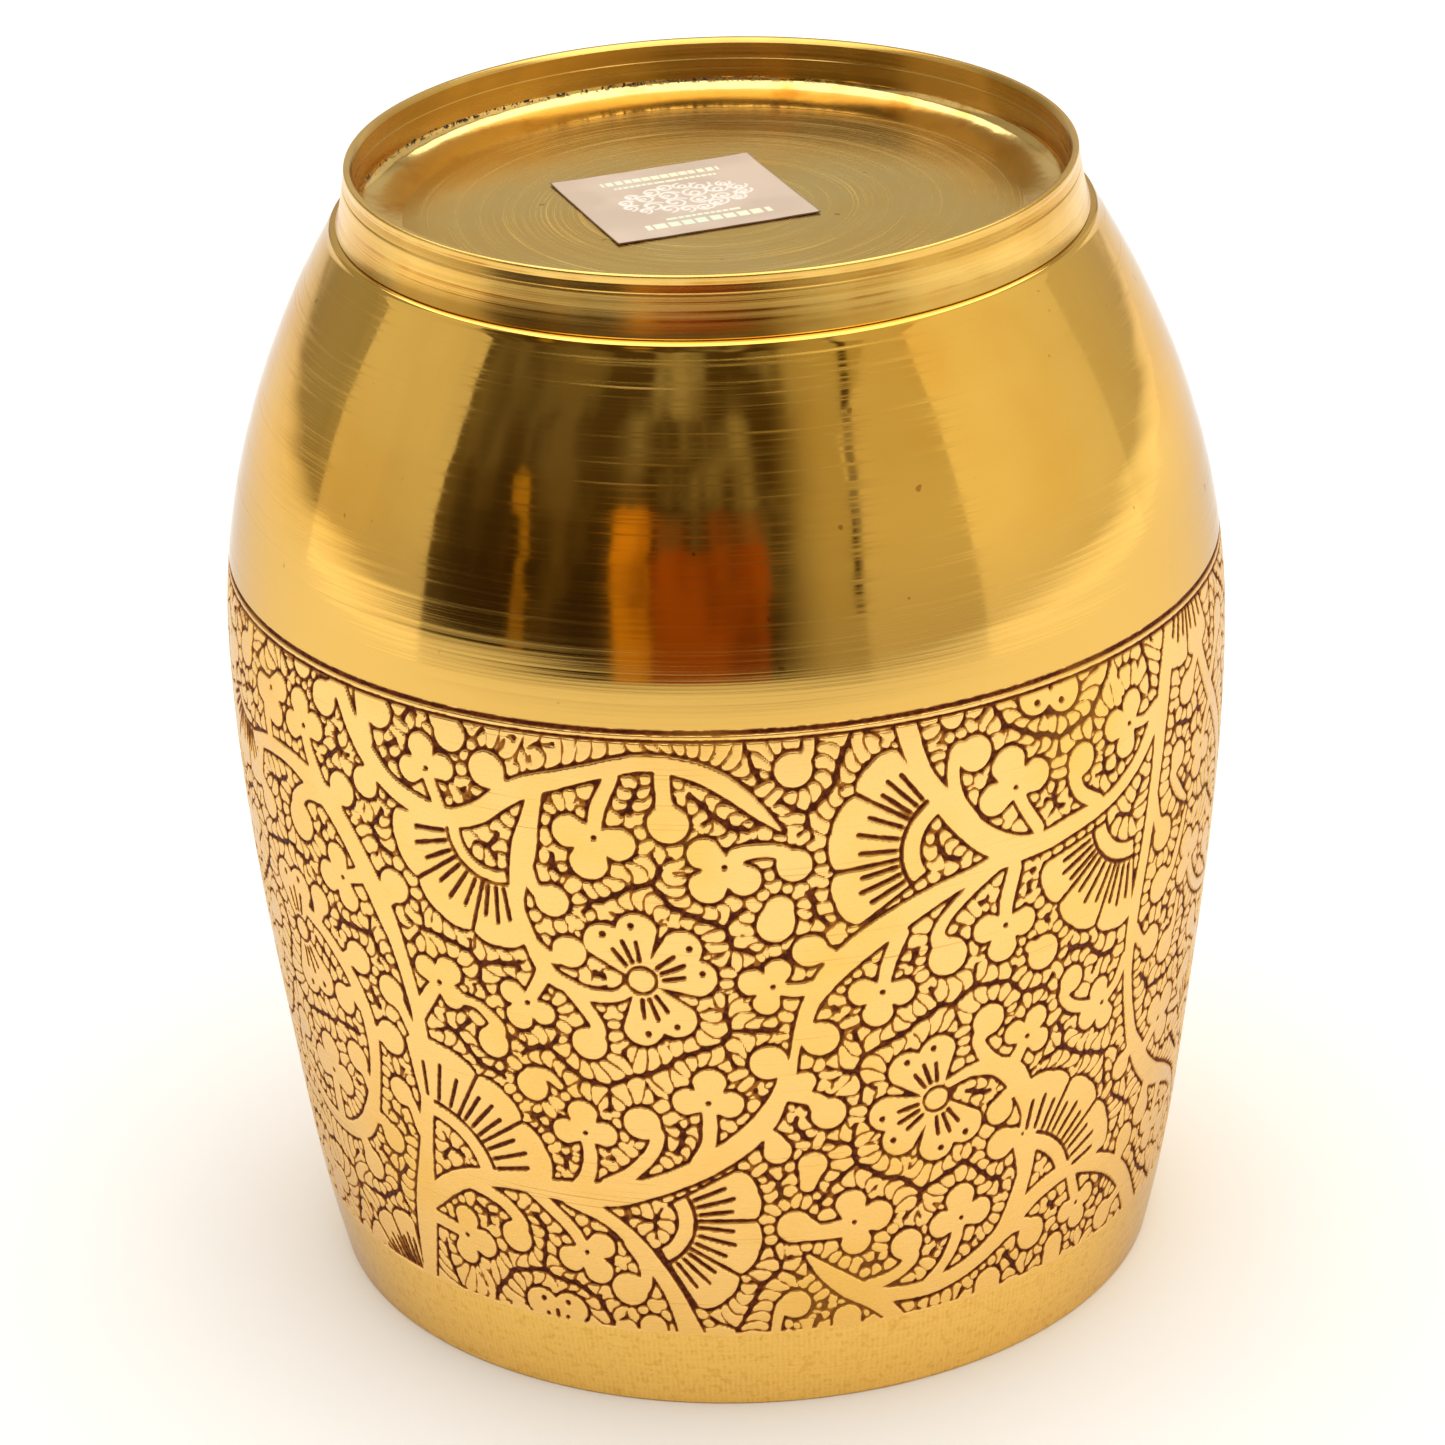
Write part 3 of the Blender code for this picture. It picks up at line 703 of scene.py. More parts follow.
def draw_ornament():
    """Return the land map: above 0 on polished land, below 0 in the etched grooves."""
    random = np.random.default_rng(SEED)
    for fan in FANS:
        add_fan(*fan)
    for vine in VINES:
        add_stroke(vine)
    for bud in BUDS:
        add_bud(*bud)
    for flower in FLOWERS:
        add_flower(*flower)
    for large in LARGE_FLOWERS:
        add_large_flower(*large)
    rows = ScaleRows(random)
    rows.fill()
    scales = blur(np.clip(rows.lands(), -FIELD_LIMIT, FIELD_LIMIT), SCALE_BLUR)
    motifs = np.clip(np.minimum(-motif_field, cut_field), -FIELD_LIMIT, FIELD_LIMIT)
    land = np.maximum(blur(motifs, MOTIF_BLUR), scales)
    ragged = smooth_noise(random, 0.45) * 0.6 + smooth_noise(random, 1.1) * 0.4
    height = grid_y[:, None]
    lines = np.minimum(np.abs(height - RIM_LINE) - RIM_HALF, np.abs(height - INNER_LINE) - INNER_HALF)
    land = np.where(height > INNER_LINE, lines, np.minimum(land, lines))
    land = np.maximum(land, FOOT_LINE - height)
    return land + ROUGHNESS * ragged


# ---------------------------------------------------------------- shapes

OUTLINE_STEP = 0.5 * MM  # spacing of points down the wall where it can be seen
SHOULDER_ROUND = 0.75 * MM
LIP_ROUND = 0.3 * MM
BED_OVERLAP = 0.3 * MM  # how far the bed under the etched sheet runs past it, above and below
BASE_RINGS = (0, 4, 12, 20, 28, 34, 38)  # radii at which the flat base has points, in mm

# Waves in the spun wall: height in mm, number round the pot, turn for each mm up, start
SPUN_WAVES = ((0.014, 3, 0.21, 0.0), (0.010, 11, -0.35, 1.3), (0.012, 2, 0.62, 0.0), (0.006, -5, 1.45, 0.0))
WAVES_TOP = 121.0  # level in mm at which the wall is true again, as it is at the band
WAVES_FADE = 6.0  # mm over which the waves die out towards both

RING_EDGE = 0.28 * MM  # rounding of the lip's outer edge
RING_STEP = 0.06 * MM  # depth of a lathe step
RING_GROOVES = (1.0 * MM, 1.9 * MM)  # drops from the lip to the grooves outside
GROOVE_HALF = 0.1 * MM
INNER_STEP_DROP = 2.4 * MM  # drop from the lip to the step inside
BRAZE_SKIN = 0.03 * MM  # least height of the braze above the base

SKIRT_SHARE = 0.8  # of the bed's depth, to which the etched sheet's border turns in
ETCH_TOP = 0.07  # land value at which a groove's wall starts to fall
ETCH_FALL = 0.24  # drop in land value over which it reaches its full depth


def held(value):
    """Return a number, held between 0 and 1."""
    return min(1.0, max(0.0, value))


def new_object(name, mesh, material):
    """Put a mesh into the scene with its material, smoothly shaded."""
    mesh.shade_smooth()
    mesh.materials.append(material)
    piece = bpy.data.objects.new(name, mesh)
    bpy.context.collection.objects.link(piece)
    return piece


def new_piece(name, vertices, faces, material):
    """Make a smooth mesh object from points and faces."""
    mesh = bpy.data.meshes.new(name)
    mesh.from_pydata([tuple(v) for v in vertices], [], [tuple(f) for f in faces])
    mesh.update()
    return new_object(name, mesh, material)


def store_values(mesh, name, values):
    """Store one number at each of a mesh's points."""
    store = mesh.attributes.new(name, "FLOAT", "POINT")
    store.data.foreach_set("value", values.astype(np.float32))


def grid_faces(tall, wide):
    """Return the faces of a grid of points, and its border's points in order."""
    number = np.arange(tall * wide).reshape(tall, wide)
    quads = np.stack([number[:-1, :-1], number[:-1, 1:], number[1:, 1:], number[1:, :-1]], -1)
    border = np.concatenate([number[0, :-1], number[:-1, -1], number[-1, :0:-1], number[:0:-1, 0]])
    return quads.reshape(-1, 4), border


def turned(name, outline, material, sharp=40, wobble=None):
    """Turn a closed outline of radius and height, given clockwise from its top on +X."""
    points = np.array(outline, float)
    angles = 2 * math.pi * np.arange(ROUND) / ROUND
    on_axis = points[:, 0] < 1e-9
    vertices = []
    rings = []
    for (radius, height), axis in zip(points, on_axis):
        rings.append(len(vertices))
        if axis:
            vertices.append((0.0, 0.0, height))
            continue
        grown = radius + (wobble(angles, height) if wobble else 0 * angles)
        vertices += [(r * math.cos(angle), r * math.sin(angle), height) for angle, r in zip(angles, grown)]
    faces = []
    count = len(points)
    for i in range(count):
        j = (i + 1) % count
        if on_axis[i] and on_axis[j]:
            continue
        for k in range(ROUND):
            n = (k + 1) % ROUND
            if on_axis[i]:
                faces.append((rings[i], rings[j] + k, rings[j] + n))
            elif on_axis[j]:
                faces.append((rings[i] + k, rings[j], rings[i] + n))
            else:
                faces.append((rings[i] + k, rings[j] + k, rings[j] + n, rings[i] + n))
    piece = new_piece(name, vertices, faces, material)
    piece.data.set_sharp_from_angle(angle=math.radians(sharp))
    return piece


def arc(centre, radius, start, end, steps):
    """Return points on an arc in the outline's plane, with its angles in degrees."""
    angles = np.radians(np.linspace(start, end, steps + 1))
    return [(centre[0] + radius * math.cos(a), centre[1] + radius * math.sin(a)) for a in angles]


def wall_outline(top, bottom, step, inset=0.0):
    """Return points down the outer wall, or a distance inside it."""
    heights = np.linspace(top, bottom, max(2, int((top - bottom) / step)))
    radius, lean = wall_radius(heights)
    tilt = np.arctan(lean)
    return list(zip(radius - inset * np.cos(tilt), heights + inset * np.sin(tilt)))


def spun_wobble(angles, height):
    """Return how far the spun wall strays from a true circle, in metres."""
    z = height / MM
    free = held((z - BAND_HIGH / MM) / WAVES_FADE) * held((WAVES_TOP - z) / WAVES_FADE)
    waves = sum(size * np.sin(count * angles + rise * z + start) for size, count, rise, start in SPUN_WAVES)
    return free * waves * MM


def make_shell():
    """Spun body: flat base, rounded shoulder, barrel wall, plain mouth, all hollow."""
    shoulder_radius, top, _ = WALL_KNOTS[0]
    side = math.degrees(SHOULDER_LEAN)
    crown_reach = shoulder_radius - SHOULDER_ROUND * math.cos(SHOULDER_LEAN)
    crown = arc((crown_reach, SHOULDER_LEVEL - SHOULDER_ROUND), SHOULDER_ROUND, 90, side, 8)
    base = [(r * MM, DISC_LEVEL) for r in BASE_RINGS]
    belly = wall_outline(crown[-1][1] - 0.2 * MM, BAND_HIGH, OUTLINE_STEP)
    bed = wall_outline(BAND_HIGH + BED_OVERLAP, BAND_LOW - BED_OVERLAP, 3 * MM, BAND_BED)
    mouth = wall_outline(BAND_LOW, LIP_ROUND, OUTLINE_STEP)
    mouth_radius = float(wall_radius(LIP_ROUND)[0])
    rim = arc((mouth_radius - LIP_ROUND, LIP_ROUND), LIP_ROUND, 0, -90, 5)
    rim += arc((mouth_radius - WALL + LIP_ROUND, LIP_ROUND), LIP_ROUND, -90, -180, 5)
    ceiling = DISC_LEVEL - BASE_THICKNESS
    corner_foot = ceiling - INNER_CORNER * (1 - math.sin(SHOULDER_LEAN))
    inside = [p for p in reversed(wall_outline(top, 2 * MM, 1.5 * MM, WALL)) if p[1] < corner_foot]
    corner_reach = inside[-1][0] - INNER_CORNER * math.cos(SHOULDER_LEAN) - 0.5 * MM
    corner = arc((corner_reach, ceiling - INNER_CORNER), INNER_CORNER, side, 90, 12)
    outline = base + crown + belly + bed + mouth + rim + inside + corner + [(0.0, ceiling)]
    return turned("spun_shell", outline, BRASS, wobble=spun_wobble)


def ring_outside(level):
    """Return the foot ring's outer radius, which spreads to a cove at its root."""
    flare_top = LIP_LEVEL - FLARE_DROP
    share = held((flare_top - level) / (flare_top - RING_BOTTOM))
    return RING_RADIUS + SPREAD * share + ROOT_COVE * share**7


def make_ring():
    """Turned foot ring: worn flat lip, lathe steps, and a wall that spreads to its root."""
    inner_step = LIP_LEVEL - INNER_STEP_DROP
    outline = [
        (RING_INNER + RING_STEP, inner_step + GROOVE_HALF),
        (RING_INNER + RING_STEP, LIP_LEVEL - 0.5 * MM),
        (RING_INNER + 0.35 * MM, LIP_LEVEL - 0.06 * MM),
        (RING_INNER + 0.42 * MM, LIP_LEVEL),
    ]
    outline += arc((RING_RADIUS - RING_EDGE, LIP_LEVEL - RING_EDGE), RING_EDGE, 90, 0, 5)
    for drop in RING_GROOVES:
        groove = LIP_LEVEL - drop
        outline.append((ring_outside(groove + GROOVE_HALF), groove + GROOVE_HALF))
        outline.append((ring_outside(groove) - RING_STEP, groove))
    for level in np.linspace(groove - GROOVE_HALF, RING_BOTTOM + 0.12 * MM, 22):
        outline.append((ring_outside(level), level))
    outline += [(ring_outside(RING_BOTTOM) - 0.1 * MM, RING_BOTTOM)]
    outline += [(RING_INNER, RING_BOTTOM), (RING_INNER, inner_step)]
    return turned("turned_foot_ring", outline, LATHED, sharp=30)


def braze_wobble(angles, height):
    """Return how unevenly the braze ran, in metres."""
    lift = held((height - DISC_LEVEL) / DISH_RISE)
    waves = 0.05 * np.sin(23 * angles + 4 * lift) + 0.04 * np.sin(41 * angles + 9 * lift)
    return -np.abs(waves) * lift * (1.2 - lift) * MM


def make_braze():
    """Run-in braze: a wide hollow dish from the base up the inside of the ring."""
    outer = RING_INNER + 0.02 * MM
    low = DISC_LEVEL - 0.05 * MM
    outline = [(DISH_INNER, low)]
    for turn in np.radians(np.linspace(0, 86, 20)):
        radius = DISH_INNER + (outer - DISH_INNER) * math.sin(turn)
        outline.append((radius, DISC_LEVEL + BRAZE_SKIN + DISH_RISE * (1 - math.cos(turn))))
    outline += [(outer, DISC_LEVEL + BRAZE_SKIN + DISH_RISE), (outer, low)]
    return turned("braze_run", outline, BRAZE, sharp=60, wobble=braze_wobble)


def bilinear(field, columns, rows):
    """Read a wrapped grid at fractional columns and rows."""
    i0 = np.floor(columns).astype(int)
    rows = np.clip(rows, 0, ROWS - 1.001)
    j0 = rows.astype(int)
    return between_cells(field, j0, i0 % COLUMNS, (i0 + 1) % COLUMNS, columns - i0, (rows - j0)[:, None])


def etched_floor(land):
    """Return how deep the metal lies below the polished surface, in millimetres."""
    wall = np.clip((ETCH_TOP - land) / ETCH_FALL, 0, 1)
    return ETCH_DEPTH / MM * wall * wall * (3 - 2 * wall)


def make_panel(index, land, depth, depth_x, depth_y):
    """Etched sheet over one share of the band, open behind, its edges turned in."""
    across = 2 * math.pi / PANELS
    columns = int(round(across * BELLY_RADIUS / PANEL_STEP))
    rows = int(round((BAND_HIGH - BAND_LOW) / PANEL_STEP))
    turn = (index + 0.5 - PANELS / 2) * across + np.linspace(-across / 2, across / 2, columns + 1)
    height = np.linspace(BAND_LOW, BAND_HIGH, rows + 1)
    i = (np.degrees(turn) * PER_DEGREE - grid_x[0]) / CELL
    j = (height / MM - grid_y[0]) / CELL
    here_depth = bilinear(depth, i, j) * MM
    radius, lean = wall_radius(height)
    tilt = np.arctan(lean)[:, None]
    angle = turn - math.pi / 2
    even = np.ones_like(angle)[None, :]
    cos = np.cos(angle)[None, :]
    sin = np.sin(angle)[None, :]
    out = np.stack([cos * np.cos(tilt), sin * np.cos(tilt), -np.sin(tilt) * even], -1)
    along = np.stack([-np.sin(angle), np.cos(angle), 0 * angle], -1)[None]
    up = np.cross(out, np.broadcast_to(along, out.shape))
    base = np.stack([radius[:, None] * cos, radius[:, None] * sin, height[:, None] * even], -1)
    points = base - out * here_depth[..., None]
    slope_x = bilinear(depth_x, i, j) * (BELLY_RADIUS / radius)[:, None]
    slope_y = bilinear(depth_y, i, j)
    normals = out + along * slope_x[..., None] + up * slope_y[..., None]
    normals /= np.linalg.norm(normals, axis=-1, keepdims=True)
    return sheet_with_edges(f"etched_band_{index + 1}", points, normals, out, bilinear(land, i, j))


def sheet_with_edges(name, points, normals, out, land):
    """Build a grid of points as a mesh whose border turns inwards."""
    tall, wide = points.shape[:2]
    quads, border = grid_faces(tall, wide)
    flat = points.reshape(-1, 3)
    inward = flat[border] - out.reshape(-1, 3)[border] * (BAND_BED * SKIRT_SHARE)
    lower = tall * wide + np.arange(len(border))
    skirt = np.stack([border, lower, np.roll(lower, -1), np.roll(border, -1)], -1)
    vertices = np.vstack([flat, inward])
    faces = np.vstack([quads, skirt])
    mesh = bpy.data.meshes.new(name)
    mesh.vertices.add(len(vertices))
    mesh.vertices.foreach_set("co", vertices.astype(np.float32).ravel())
    mesh.loops.add(faces.size)
    mesh.loops.foreach_set("vertex_index", faces.astype(np.int32).ravel())
    mesh.polygons.add(len(faces))
    mesh.polygons.foreach_set("loop_start", np.arange(0, faces.size, 4, dtype=np.int32))
    mesh.update(calc_edges=True)
    mesh.validate()
    store_values(mesh, "land", np.concatenate([land.ravel(), np.full(len(border), 0.5)]))
    unwrap_sheet(mesh, tall, wide, border, faces)
    piece = new_object(name, mesh, ETCHED)
    corner = normals.reshape(-1, 3)
    mesh.normals_split_custom_set_from_vertices([tuple(n) for n in np.vstack([corner, corner[border]])])
    return piece


def unwrap_sheet(mesh, tall, wide, border, faces):
    """Lay the sheet flat for baking, its turned-in border just outside the rest."""
    u = np.linspace(0.01, 0.99, wide)[None, :] * np.ones((tall, 1))
    v = np.linspace(0.01, 0.99, tall)[:, None] * np.ones((1, wide))
    place = np.stack([u.ravel(), v.ravel()], -1)
    rim = 0.5 + (place[border] - 0.5) * 1.018
    spread = np.vstack([place, rim])
    layer = mesh.uv_layers.new(name="OFBake")
    layer.data.foreach_set("uv", spread[faces.ravel()].astype(np.float32).ravel())


# ---------------------------------------------------------------- materials


class Nodes:
    """Short way to add and link shader nodes in one material or world."""

    def __init__(self, owner):
        self.owner = owner
        owner.use_nodes = True
        self.tree = owner.node_tree

    def add(self, kind, inputs=(), **settings):
        """Add a node; inputs are values or output sockets, by socket name or number."""
        node = self.tree.nodes.new(kind)
        for key, value in settings.items():
            setattr(node, key, value)
        for slot, value in dict(inputs).items():
            self.feed(node.inputs[slot], value)
        return node

    def feed(self, socket, value):
        if isinstance(value, bpy.types.NodeSocket):
            self.tree.links.new(value, socket)
        else:
            socket.default_value = value

    def math(self, operation, a, b=0.0):
        return self.add("ShaderNodeMath", {0: a, 1: b}, operation=operation).outputs[0]

    def plus(self, a, b):
        return self.math("ADD", a, b)

    def times(self, a, b):
        return self.math("MULTIPLY", a, b)

    def ramp(self, value, low, high):
        """Return 0 at low, 1 at high, level beyond them and a smooth rise between."""
        node = self.add("ShaderNodeMapRange", {0: value, 1: low, 2: high}, interpolation_type="SMOOTHSTEP")
        return node.outputs[0]

    def within(self, *edges):
        """Multiply ramps, each given as its value, low and high."""
        share = self.ramp(*edges[0])
        for edge in edges[1:]:
            share = self.times(share, self.ramp(*edge))
        return share

    def mix(self, share, first, second):
        """Mix two colours."""
        return self.add("ShaderNodeMix", {0: share, 6: first, 7: second}, data_type="RGBA").outputs[2]

    def blend(self, share, first, second):
        """Mix two numbers."""
        return self.add("ShaderNodeMix", {0: share, 2: first, 3: second}, data_type="FLOAT").outputs[0]

    def noise(self, vector, scale=1.0, detail=2.0, rough=0.5):
        inputs = {"Vector": vector, "Scale": scale, "Detail": detail, "Roughness": rough}
        return self.add("ShaderNodeTexNoise", inputs).outputs[0]

    def place(self):
        """Return the point in object space, in metres."""
        return self.add("ShaderNodeTexCoord").outputs["Object"]

    def stored(self, name):
        """Return a number stored at the mesh's points."""
        return self.add("ShaderNodeAttribute", attribute_name=name).outputs["Fac"]

    def split(self, vector):
        return self.add("ShaderNodeSeparateXYZ", {0: vector}).outputs

    def radius(self):
        """Return the distance from the pot's axis."""
        x, y, _ = self.split(self.place())
        return self.math("SQRT", self.plus(self.times(x, x), self.times(y, y)))

    def turned(self, fine, coarse, detail=2.0, rough=0.5):
        """Return noise drawn out round the pot: fine across the marks, coarse along them."""
        x, y, z = self.split(self.place())
        across = self.times(self.plus(z, self.times(self.radius(), BASE_SHARE)), fine)
        parts = {0: self.times(x, coarse), 1: self.times(y, coarse), 2: across}
        return self.noise(self.add("ShaderNodeCombineXYZ", parts).outputs[0], 1.0, detail, rough)

    def ribs(self, count, waver):
        """Return wavering upright ribs spaced evenly round the pot, from 0 to 1."""
        x, y, _ = self.split(self.place())
        turn = self.times(self.math("ARCTAN2", y, x), count)
        wander = self.times(self.noise(self.place(), 700, 2.0), waver * 2 * math.pi)
        return self.plus(self.times(self.math("SINE", self.plus(turn, wander)), 0.5), 0.5)

    def bump(self, height, distance, under=None):
        inputs = {"Height": height, "Distance": distance, "Strength": 1.0}
        if under is not None:
            inputs["Normal"] = under
        return self.add("ShaderNodeBump", inputs).outputs[0]

    def finish(self, **sockets):
        """Feed the shader and return the material."""
        names = {"colour": "Base Color", "metallic": "Metallic", "roughness": "Roughness",
                 "normal": "Normal", "specular": "Specular IOR Level", "edge": "Specular Tint"}
        shader = self.tree.nodes["Principled BSDF"]
        for key, value in sockets.items():
            self.feed(shader.inputs[names[key]], value)
        return self.owner


def material_nodes(name):
    return Nodes(bpy.data.materials.new(name))


BASE_SHARE = 0.8  # of the radius, added to the height so that marks on the base are rings too

# Brass, from clean to stained
GOLD = (0.92, 0.575, 0.125, 1)
DEEP_GOLD = (0.85, 0.47, 0.075, 1)
PALE_GOLD = (0.90, 0.63, 0.22, 1)
DULL_GOLD = (0.74, 0.46, 0.115, 1)
# Mouth band: its own grained brass, painted paler as painted light that makes up for the shaded floor it
# mirrors
MOUTH_GOLD_WITH_PAINTED_LIGHT = (0.94, 0.61, 0.155, 1)
SATIN_GOLD = (0.85, 0.62, 0.21, 1)
DEEP_SATIN_GOLD = (0.86, 0.57, 0.15, 1)
TURNED_GOLD = (0.82, 0.54, 0.15, 1)
DEEP_TURNED_GOLD = (0.74, 0.44, 0.095, 1)
LAND_GOLD = (0.94, 0.60, 0.20, 1)
DEEP_LAND_GOLD = (0.90, 0.55, 0.135, 1)
STAINED_GOLD = (0.66, 0.34, 0.045, 1)
BROWN_GOLD = (0.53, 0.335, 0.10, 1)
PALE_TARNISH = (0.46, 0.20, 0.025, 1)
WARM_TARNISH = (0.42, 0.15, 0.014, 1)
RUST = (0.19, 0.042, 0.004, 1)
DARK_RUST = (0.075, 0.012, 0.0012, 1)
SOOT = (0.02, 0.012, 0.006, 1)
DIM_EDGE = (0.72, 0.72, 0.78, 1)  # how a grazing reflection is tinted

# Zones of the spun body, as levels between which each fades in
BRUSHED_ZONE = (106.0 * MM, 92.0 * MM)
MOUTH_ZONE = (12.5 * MM, 10.5 * MM)
STAINED_RIM = (34.5 * MM, 42.5 * MM)  # radii between which the base grows darker


def polished_brass():
    """Spun brass: mirror belly, satin base with turning rings, grained band at the mouth, painted paler to
    make up for the shaded floor it mirrors.
    """
    n = material_nodes("polished_brass")
    height = n.split(n.place())[2]
    on_top = n.ramp(height, DISC_LEVEL - 0.5 * MM, DISC_LEVEL - 0.1 * MM)
    base = n.times(on_top, n.ramp(n.radius(), RING_RADIUS + 0.5 * MM, RING_RADIUS))
    low_zone = n.ramp(height, *BRUSHED_ZONE)
    mouth = n.ramp(height, *MOUTH_ZONE)
    lines = n.turned(3800, 9, 3.0, 0.6)
    broad = n.turned(900, 6)
    cloud = n.noise(n.place(), 38, 3.0, 0.55)
    streaks = n.turned(5200, 36, 3.0, 0.6)
    patches = n.ramp(n.noise(n.place(), 30, 2.0), 0.38, 0.62)
    grain = n.noise(n.place(), 1250, 3.0, 0.6)
    rings = n.turned(1500, 3)
    stains = n.noise(n.place(), 48, 4.0, 0.6)
    weave = n.times(n.ribs(520, 0.9), n.ramp(n.turned(2300, 300, 1.0), 0.3, 0.6))
    pit = n.ramp(n.noise(n.place(), 560, 1.0, 0.4), 0.775, 0.81)

    brushed = n.times(lines, n.plus(0.4, n.times(low_zone, 1.5)))
    waves = n.times(broad, n.plus(1.0, n.times(low_zone, 2.2)))
    ring_marks = n.times(rings, n.plus(0.4, n.times(patches, 0.5)))
    normal = n.bump(waves, 7e-6, n.bump(brushed, 3.2e-6))
    normal = n.bump(n.times(n.plus(grain, n.times(weave, 0.5)), mouth), 1.8e-5, normal)
    normal = n.bump(n.times(ring_marks, base), 3.5e-6, normal)

    satin = n.mix(n.ramp(stains, 0.36, 0.66), SATIN_GOLD, DEEP_SATIN_GOLD)
    edge = n.ramp(n.plus(n.radius(), n.times(stains, 12.0 * MM)), *STAINED_RIM)
    satin = n.mix(n.times(edge, 0.28), satin, STAINED_GOLD)
    tone = n.mix(n.ramp(cloud, 0.35, 0.75), GOLD, DEEP_GOLD)
    tone = n.mix(n.times(low_zone, 0.9), tone, DULL_GOLD)
    tone = n.mix(base, tone, satin)
    tone = n.mix(n.times(pit, 0.5), tone, RUST)
    # Painted light: the mouth band is paled past its own brass to make up for the shaded floor it mirrors
    tone = n.mix(mouth, tone, MOUTH_GOLD_WITH_PAINTED_LIGHT)
    spots = n.plus(n.times(n.ramp(grain, 0.50, 0.68), 0.35), n.times(weave, 0.22))
    tone = n.mix(n.times(spots, mouth), tone, STAINED_GOLD)

    rough = n.plus(0.055, n.times(n.ramp(lines, 0.45, 0.8), 0.08))
    rough = n.plus(rough, n.times(n.ramp(streaks, 0.46, 0.74), n.plus(0.06, n.times(patches, 0.14))))
    rough = n.plus(rough, n.times(low_zone, 0.02))
    rough = n.plus(rough, n.plus(n.times(mouth, 0.1), n.times(base, 0.15)))
    return n.finish(colour=tone, metallic=1.0, roughness=rough, normal=normal, edge=DIM_EDGE)


def lathed_brass():
    """Turned brass with clear tool lines, brown in the deeper ones and inside the ring, darker at its root
    from stain and painted shade.
    """
    n = material_nodes("lathed_brass")
    height = n.split(n.place())[2]
    lines = n.turned(2600, 7, 4.0, 0.65)
    broad = n.turned(1000, 16)
    patches = n.ramp(n.noise(n.place(), 60, 3.0, 0.6), 0.40, 0.60)
    groove = n.ramp(lines, 0.44, 0.34)
    # Near the ring's root, where it meets the shoulder: mask for stain and painted shade
    root = n.ramp(height, RING_ROOT_LEVEL + 2.4 * MM, RING_ROOT_LEVEL + 0.2 * MM)
    inner = n.ramp(n.radius(), RING_INNER + 0.3 * MM, RING_INNER + 0.1 * MM)
    normal = n.bump(broad, 1.1e-5, n.bump(lines, 0.9e-5))
    tone = n.mix(n.ramp(broad, 0.35, 0.7), TURNED_GOLD, DEEP_TURNED_GOLD)
    tone = n.mix(n.times(patches, 0.35), tone, STAINED_GOLD)
    tone = n.mix(n.times(groove, patches), tone, WARM_TARNISH)
    # Darker near the ring's root: partly stain, partly painted shade where the ring meets the shoulder
    tone = n.mix(n.times(root, n.times(patches, 0.5)), tone, STAINED_GOLD)
    tone = n.mix(n.times(inner, n.plus(0.45, n.times(patches, 0.5))), tone, BROWN_GOLD)
    rough = n.plus(0.16, n.times(n.ramp(lines, 0.3, 0.7), 0.12))
    return n.finish(colour=tone, metallic=1.0, roughness=rough, normal=normal)


def braze():
    """Braze metal, bright low down, with black flux residue high up at the back left."""
    n = material_nodes("braze")
    x, y, height = n.split(n.place())
    upper = n.ramp(height, DISC_LEVEL + 0.62 * DISH_RISE, DISC_LEVEL + 0.85 * DISH_RISE)
    specks = n.ramp(n.noise(n.place(), 1300, 3.0, 0.75), 0.50, 0.57)
    back_left = n.ramp(n.math("SUBTRACT", y, n.times(x, 1.2)), 12.0 * MM, 45.0 * MM)
    dirt = n.times(n.times(specks, upper), n.plus(0.12, back_left))
    cloud = n.noise(n.place(), 160, 3.0, 0.6)
    tone = n.mix(n.ramp(cloud, 0.5, 0.8), PALE_GOLD, STAINED_GOLD)
    tone = n.mix(dirt, tone, SOOT)
    rough = n.plus(0.14, n.times(dirt, 0.5))
    metal = n.math("SUBTRACT", 1.0, n.times(dirt, 0.8))
    return n.finish(colour=tone, metallic=metal, roughness=rough, normal=n.bump(cloud, 4e-5))


def etched_brass():
    """Polished lands with hairlines; grooves stained dark brown, orange at their edges."""
    n = material_nodes("etched_brass")
    place = n.place()
    blotch = n.noise(place, 55, 3.0, 0.6)
    grain = n.noise(place, 1500, 3.0, 0.65)
    hair = n.turned(5200, 26, 2.0, 0.6)
    ragged = n.plus(n.stored("land"), n.times(n.math("SUBTRACT", grain, 0.5), 0.06))
    deep = n.ramp(ragged, -0.03, -0.12)
    on_top = n.ramp(ragged, -0.01, 0.035)
    floor = n.mix(deep, WARM_TARNISH, RUST)
    floor = n.mix(n.times(n.ramp(grain, 0.36, 0.58), deep), floor, DARK_RUST)
    floor = n.mix(n.times(n.ramp(blotch, 0.55, 0.72), 0.5), floor, PALE_TARNISH)
    scratch = n.times(n.ramp(hair, 0.64, 0.72), n.ramp(n.noise(place, 90, 1.0), 0.46, 0.6))
    top = n.mix(n.ramp(blotch, 0.4, 0.75), LAND_GOLD, DEEP_LAND_GOLD)
    top = n.mix(n.times(scratch, 0.5), top, WARM_TARNISH)
    rough_low = n.plus(0.5, n.times(grain, 0.2))
    rough_top = n.plus(0.20, n.times(hair, 0.14))
    pitted = n.times(grain, n.math("SUBTRACT", 1.0, on_top))
    return n.finish(colour=n.mix(on_top, floor, top), metallic=n.blend(on_top, 0.4, 1.0),
                    roughness=n.blend(on_top, rough_low, rough_top),
                    normal=n.bump(pitted, 6e-5, n.bump(hair, 2.2e-6)), specular=0.25, edge=DIM_EDGE)


FOIL_TONES = ((0.57, 0.445, 0.345, 1), (0.65, 0.51, 0.405, 1))
BAR_TONES = ((0.78, 0.93, 0.72, 1), (1.0, 0.92, 0.66, 1))
SCROLL_TONE = (0.98, 0.93, 0.86, 1)
CUT_EDGE_TONE = (0.16, 0.09, 0.07, 1)


